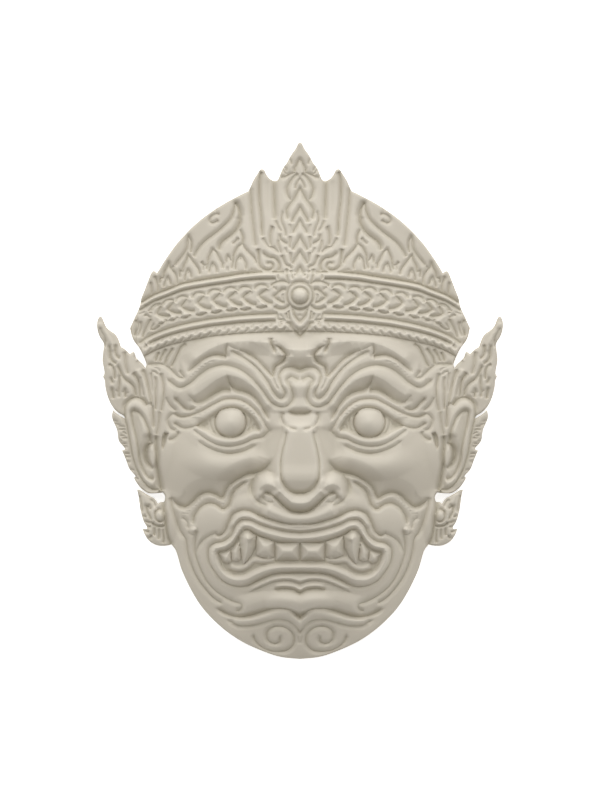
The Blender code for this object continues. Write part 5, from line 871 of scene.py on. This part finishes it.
def earring(relief):
    cut = relief.cut
    cut([(140.8, 170), (139.2, 164), (137, 158), (136.4, 150), (135.2, 144), (134.6, 138), (133.8, 132),
         (132.8, 126), (131, 120), (129, 116.6)], 3.6, 4.2, (1, 0))
    # Round knob, with the ring that holds it.
    relief.mound(140, 144.4, 5.4, 6.4, 4.0, 0, 0.8)
    cut([(136.6, 139.6), (138.6, 138.2), (141.6, 138.4), (144, 141), (144.8, 144.6), (144.4, 148),
         (142, 150), (138.8, 150), (136.2, 148.2)], 2.6, 2.8, (1, 1))
    relief.swell([(136, 137.6), (139.6, 136.2), (143, 136.8), (145.6, 139.8), (146.6, 144),
                  (146, 148.6), (144, 152)], 1.8, 2.8, (1, 1))
    cut([(148.4, 137.4), (145.2, 135), (141.4, 133.8), (138, 133.6), (134.8, 134.6)], 3.2, 3.4, (1, 1))
    for run in ([(145.4, 131.2), (145.4, 127.4), (145.8, 124)],
                [(141, 130), (141, 125), (141.2, 120.4)],
                [(136.8, 129.6), (136.4, 124.6), (136, 120), (137, 116.6)],
                [(133.8, 130), (132.6, 125), (131.4, 121)], [(150.2, 122), (147.6, 124.6)],
                [(156.8, 131), (154.4, 128.8), (150.2, 128)],
                [(154.6, 135.2), (151.4, 133), (148.4, 133.4)],
                [(154.4, 138.6), (151, 137.4), (147.6, 137)], [(155.8, 143.8), (153, 142.6)],
                [(149, 141.2), (150.6, 144), (152.4, 147), (153, 151), (153.6, 154.4)],
                [(153.6, 154.2), (150.6, 152.6), (148.6, 151)]):
        cut(run, 2.8, 3.0, (0, 1))
    # Point beside the lobe.
    cut([(160.2, 165), (158.8, 159), (157.6, 152), (157.4, 147)], 2.4, 3.2, (1, 2))
    relief.swell([(156.4, 167), (154.4, 159), (151, 154.6)], 1.6, 3.6, (2, 2))
    cut([(149.6, 160.6), (146.4, 158), (144.4, 153.4)], 1.8, 2.8, (1, 1))


def carve():
    relief = Relief(STEP)
    for part in (masses, nose, mouth, teeth, nose_lines, chin, jaw, eye, brow, band, crown, ear,
                 earring):
        part(relief)
    return relief


# Hollow back
HOLLOW_RUN = [(-3, 15), (20, 16.5), (50, 27), (78, 49), (102, 84), (114, 116), (122, 150), (126, 200),
              (127, 250), (131, 286), (141, 312), (148, 332), (143, 356), (126, 388), (98, 419),
              (62, 441), (30, 450), (-3, 452)]


def to_metres(points, low):
    """Template units to metres, with the middle of the height at Y = 0 and the back at Z = 0."""
    scale = MASK_HEIGHT / TEMPLATE_HEIGHT
    moved = np.asarray(points, float) - [0.0, low + TEMPLATE_HEIGHT / 2, 0.0]
    return moved * scale


def block(name, xs, ys, heights, floor, low):
    """A fine grid lifted to the heights, its edge drawn down to a flat underside."""
    rows, cols = heights.shape
    made = bmesh.new()
    bmesh.ops.create_grid(made, x_segments=cols - 1, y_segments=rows - 1, size=1)
    mesh = bpy.data.meshes.new(name)
    made.to_mesh(mesh)
    flat = np.empty(len(mesh.vertices) * 3, np.float32)
    mesh.vertices.foreach_get("co", flat)
    flat = flat.reshape(-1, 3)
    i = np.rint((flat[:, 0] + 1) / 2 * (cols - 1)).astype(int)
    j = np.rint((flat[:, 1] + 1) / 2 * (rows - 1)).astype(int)
    lifted = to_metres(np.column_stack([xs[i], ys[j], heights[j, i]]), low)
    mesh.vertices.foreach_set("co", lifted.astype(np.float32).ravel())
    made.free()
    made = bmesh.new()
    made.from_mesh(mesh)
    border = [edge for edge in made.edges if edge.is_boundary]
    drawn = bmesh.ops.extrude_edge_only(made, edges=border)["geom"]
    for item in drawn:
        if isinstance(item, bmesh.types.BMVert):
            item.co.z = floor * MASK_HEIGHT / TEMPLATE_HEIGHT
    lower = [edge for edge in made.edges if edge.is_boundary]
    bmesh.ops.edgeloop_fill(made, edges=lower)
    bmesh.ops.recalc_face_normals(made, faces=made.faces)
    made.to_mesh(mesh)
    made.free()
    return mesh


def prism(name, run, floor, top, low):
    """The outline as a filled curve, thickened, then turned into a mesh."""
    curve = bpy.data.curves.new(name, "CURVE")
    curve.dimensions = "2D"
    curve.fill_mode = "BOTH"
    path = curve.splines.new("POLY")
    path.points.add(len(run) - 1)
    flat = to_metres(np.column_stack([run, np.zeros(len(run))]), low)
    for point, (x, y, _) in zip(path.points, flat):
        point.co = (x, y, 0, 1)
    path.use_cyclic_u = True
    scale = MASK_HEIGHT / TEMPLATE_HEIGHT
    curve.extrude = (top - floor) / 2 * scale
    source = bpy.data.objects.new(name, curve)
    bpy.context.scene.collection.objects.link(source)
    graph = bpy.context.evaluated_depsgraph_get()
    mesh = bpy.data.meshes.new_from_object(source.evaluated_get(graph))
    bpy.data.objects.remove(source, do_unlink=True)
    weld = bmesh.new()
    weld.from_mesh(mesh)
    bmesh.ops.remove_doubles(weld, verts=weld.verts, dist=1e-6)
    bmesh.ops.translate(weld, verts=weld.verts, vec=(0, 0, (top + floor) / 2 * scale))
    bmesh.ops.recalc_face_normals(weld, faces=weld.faces)
    weld.to_mesh(mesh)
    weld.free()
    return mesh


def half_outline():
    """The right half of the outline, carried a little past the middle so that halves can meet."""
    pieces, start = [], []
    for points in OUTLINE_RUNS:
        pieces.append(spline(start + points, OUTLINE_SPACING)[:-1])
        start = points[-1:]
    run = np.vstack(pieces + [start])
    past = HALF_OVERLAP * STEP
    return np.vstack([[(-past, run[0, 1])], run, [(-past, run[-1, 1])]])


def roof(relief):
    """Underside of the shell: the plain bulge, lifted inside the nose, less the wall."""
    lift = 10 * np.exp(-((relief.x / 26) ** 2 + ((relief.y - 188) / 34) ** 2))
    return dome(relief.x, relief.y) + lift - WALL


def both_sides(relief, heights):
    """The grid carried a few columns past the middle."""
    xs = np.concatenate([-relief.xs[HALF_OVERLAP:0:-1], relief.xs])
    return xs, np.hstack([heights[:, HALF_OVERLAP:0:-1], heights])


def roll_edge(relief, outline):
    """Rounds the relief over towards its outline, as a cast edge does."""
    win, dist, _, _ = relief.near(outline[1:-1], EDGE_ROLL)
    t = np.clip(1 - dist / EDGE_ROLL, 0, 1)
    relief.h[win] -= EDGE_ROLL * (1 - np.sqrt(1 - 0.96 * t * t))


def boolean(target, cutter, operation):
    made = target.modifiers.new(operation.lower(), "BOOLEAN")
    made.operation = operation
    made.solver = "MANIFOLD"
    made.object = cutter


def linked(name, mesh):
    made = bpy.data.objects.new(name, mesh)
    bpy.context.scene.collection.objects.link(made)
    return made


def final_mesh(item):
    graph = bpy.context.evaluated_depsgraph_get()
    return bpy.data.meshes.new_from_object(item.evaluated_get(graph))


def shell_half(relief, outline, low):
    """The right half of the mask: relief block, cut to the outline and hollowed."""
    xs, heights = both_sides(relief, relief.finished())
    half = linked("half", block("half", xs, relief.ys, heights, 0.0, low))
    edge = linked("outline_prism", prism("outline_prism", outline, -6, 130, low))
    xs, under = both_sides(relief, np.maximum(roof(relief), 1.0))
    keep = slice(None, None, 4)
    hollow_top = linked("hollow_roof",
                        block("hollow_roof", xs[keep], relief.ys[keep], under[keep, keep], -4.0, low))
    hollow = linked("hollow_prism", prism("hollow_prism", spline(HOLLOW_RUN, 4.0), -2, 110, low))
    boolean(hollow, hollow_top, "INTERSECT")
    boolean(half, edge, "INTERSECT")
    boolean(half, hollow, "DIFFERENCE")
    mesh = final_mesh(half)
    for item in (half, edge, hollow_top, hollow):
        bpy.data.objects.remove(item, do_unlink=True)
    return mesh


def thinned(mesh):
    """Both sides of the mask, with flat ground thinned out and the carving kept."""
    whole = linked("whole", mesh)
    thin = whole.modifiers.new("thin_out", "DECIMATE")
    mesh.calc_loop_triangles()
    thin.ratio = min(1.0, PIECE_TRIANGLES / 2 / len(mesh.loop_triangles))
    mirror = whole.modifiers.new("other_half", "MIRROR")
    mirror.use_axis[0] = True
    mirror.use_bisect_axis[0] = True
    mirror.bisect_threshold = 0.0000001
    mirror.merge_threshold = 0.0000001
    done = final_mesh(whole)
    bpy.data.objects.remove(whole, do_unlink=True)
    return done


def mark_painted_light(mesh, relief, low):
    """Two values a point for painted light: how far it lies in a groove, which gets painted shade, and
    how far it stands proud, which gets a painted highlight.
    """
    surface = relief.finished()
    reach = max(1, round(5 / STEP))
    lower = blurred(surface, reach) - surface
    points = np.empty(len(mesh.vertices) * 3, np.float32)
    mesh.vertices.foreach_get("co", points)
    points = points.reshape(-1, 3) * TEMPLATE_HEIGHT / MASK_HEIGHT
    points[:, 1] += low + TEMPLATE_HEIGHT / 2
    i = np.clip(np.abs(points[:, 0]) / STEP, 0, len(relief.xs) - 1.001)
    j = np.clip((points[:, 1] - relief.ys[0]) / STEP, 0, len(relief.ys) - 1.001)
    i0, j0 = i.astype(int), j.astype(int)
    fi, fj = i - i0, j - j0

    def sampled(values):
        return ((values[j0, i0] * (1 - fi) + values[j0, i0 + 1] * fi) * (1 - fj)
                + (values[j0 + 1, i0] * (1 - fi) + values[j0 + 1, i0 + 1] * fi) * fj)

    front = np.clip((points[:, 2] - sampled(surface) + 2.0) / 1.0, 0, 1)
    found = sampled(lower)
    carved = np.clip(1.2 * (sampled(relief.crease) / 2.8) ** 1.8, 0, 1)
    # The first value is painted shade in creases and hollows, the second a painted highlight on raised
    # parts.
    for name, values in (("groove_shade", np.maximum(carved, np.clip(found / 3.0, 0, 1)) * front),
                         ("proud_highlight", np.clip(-found / 2.2, 0, 1) * front)):
        mesh.attributes.new(name, "FLOAT", "POINT").data.foreach_set("value", values.astype(np.float32))


def resin():
    """Cast resin: one warm grey, with painted shade darkening the grooves and a painted highlight
    lightening the raised parts.
    """
    made = bpy.data.materials.new("cast_resin")
    made.use_nodes = True
    nodes, links = made.node_tree.nodes, made.node_tree.links
    shader = nodes["Principled BSDF"]
    place = nodes.new("ShaderNodeTexCoord")

    def noise(scale, detail):
        node = nodes.new("ShaderNodeTexNoise")
        node.inputs["Scale"].default_value = scale
        node.inputs["Detail"].default_value = detail
        links.new(place.outputs["Object"], node.inputs["Vector"])
        return node.outputs["Fac"]

    def mix(kind, first, second, share):
        node = nodes.new("ShaderNodeMix")
        node.data_type = "RGBA"
        node.blend_type = kind
        for socket, value in ((6, first), (7, second), (0, share)):
            if isinstance(value, bpy.types.NodeSocket):
                links.new(value, node.inputs[socket])
            else:
                node.inputs[socket].default_value = value
        return node.outputs[2]

    def spread(value, low, high):
        node = nodes.new("ShaderNodeMapRange")
        links.new(value, node.inputs["Value"])
        node.inputs["From Min"].default_value = 0.3
        node.inputs["From Max"].default_value = 0.7
        node.inputs["To Min"].default_value = low
        node.inputs["To Max"].default_value = high
        return node.outputs["Result"]

    def attribute(name):
        node = nodes.new("ShaderNodeAttribute")
        node.attribute_name = name
        return node.outputs["Fac"]

    broad = mix("MIX", BASE_COLOUR, tuple(c * 0.965 for c in BASE_COLOUR[:3]) + (1.0,),
                spread(noise(24.0, 3.0), 0.0, 1.0))
    # Painted highlight lightens the raised parts.
    proud_highlight = mix("MIX", broad, PROUD_HIGHLIGHT_COLOUR, attribute("proud_highlight"))
    # Painted shade darkens the grooves.
    groove_shaded = mix("MIX", proud_highlight, GROOVE_SHADE_COLOUR, attribute("groove_shade"))
    links.new(groove_shaded, shader.inputs["Base Color"])
    links.new(spread(noise(160.0, 2.0), 0.50, 0.60), shader.inputs["Roughness"])
    shader.inputs["Specular IOR Level"].default_value = 0.35
    bump = nodes.new("ShaderNodeBump")
    bump.inputs["Strength"].default_value = 0.06
    bump.inputs["Distance"].default_value = 0.0004
    links.new(noise(900.0, 3.0), bump.inputs["Height"])
    links.new(bump.outputs["Normal"], shader.inputs["Normal"])
    return made


def dress_mask():
    outline = half_outline()
    low = outline[:, 1].min()
    relief = carve()
    roll_edge(relief, outline)
    mesh = thinned(shell_half(relief, outline, low))
    mark_painted_light(mesh, relief, low)
    mesh.shade_smooth()
    mesh.set_sharp_from_angle(angle=math.radians(55))
    mesh.materials.clear()
    mesh.materials.append(resin())
    piece = linked("khon_mask_relief", mesh)
    mesh.name = "khon_mask_relief"
    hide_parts("khon_mask")
    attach(piece, "root")


def studio():
    """Plain pale floor, one broad lamp from the crown side and an even fill."""
    scene = bpy.context.scene
    scene.view_settings.view_transform = "Standard"
    made = bmesh.new()
    bmesh.ops.create_grid(made, x_segments=1, y_segments=1, size=4.0)
    mesh = bpy.data.meshes.new("floor")
    made.to_mesh(mesh)
    made.free()
    floor = linked("floor", mesh)
    paper = bpy.data.materials.new("pale_floor")
    paper.use_nodes = True
    shader = paper.node_tree.nodes["Principled BSDF"]
    shader.inputs["Base Color"].default_value = (0.9, 0.9, 0.9, 1)
    shader.inputs["Roughness"].default_value = 0.9
    shader.inputs["Specular IOR Level"].default_value = 0.1
    shader.inputs["Emission Color"].default_value = (1, 1, 1, 1)
    shader.inputs["Emission Strength"].default_value = FLOOR_GLOW
    mesh.materials.append(paper)

    world = bpy.data.worlds.new("soft_fill")
    world.use_nodes = True
    world.node_tree.nodes["Background"].inputs["Color"].default_value = (1, 0.968, 0.915, 1)
    world.node_tree.nodes["Background"].inputs["Strength"].default_value = FILL_STRENGTH
    scene.world = world

    lamp = bpy.data.lights.new("soft_lamp", "SUN")
    lamp.energy = LAMP_STRENGTH
    lamp.angle = math.radians(LAMP_SPREAD)
    holder = bpy.data.objects.new("soft_lamp", lamp)
    scene.collection.objects.link(holder)
    holder.rotation_euler = (math.radians(-LAMP_TILT), 0, 0)

    view = bpy.data.cameras.new("camera")
    view.type = "ORTHO"
    view.ortho_scale = FRAME_HEIGHT * MASK_HEIGHT / TEMPLATE_HEIGHT
    eye_point = bpy.data.objects.new("camera", view)
    scene.collection.objects.link(eye_point)
    eye_point.location = (0, FRAME_MID * MASK_HEIGHT / TEMPLATE_HEIGHT, 2.0)
    scene.camera = eye_point


dress_mask()
studio()
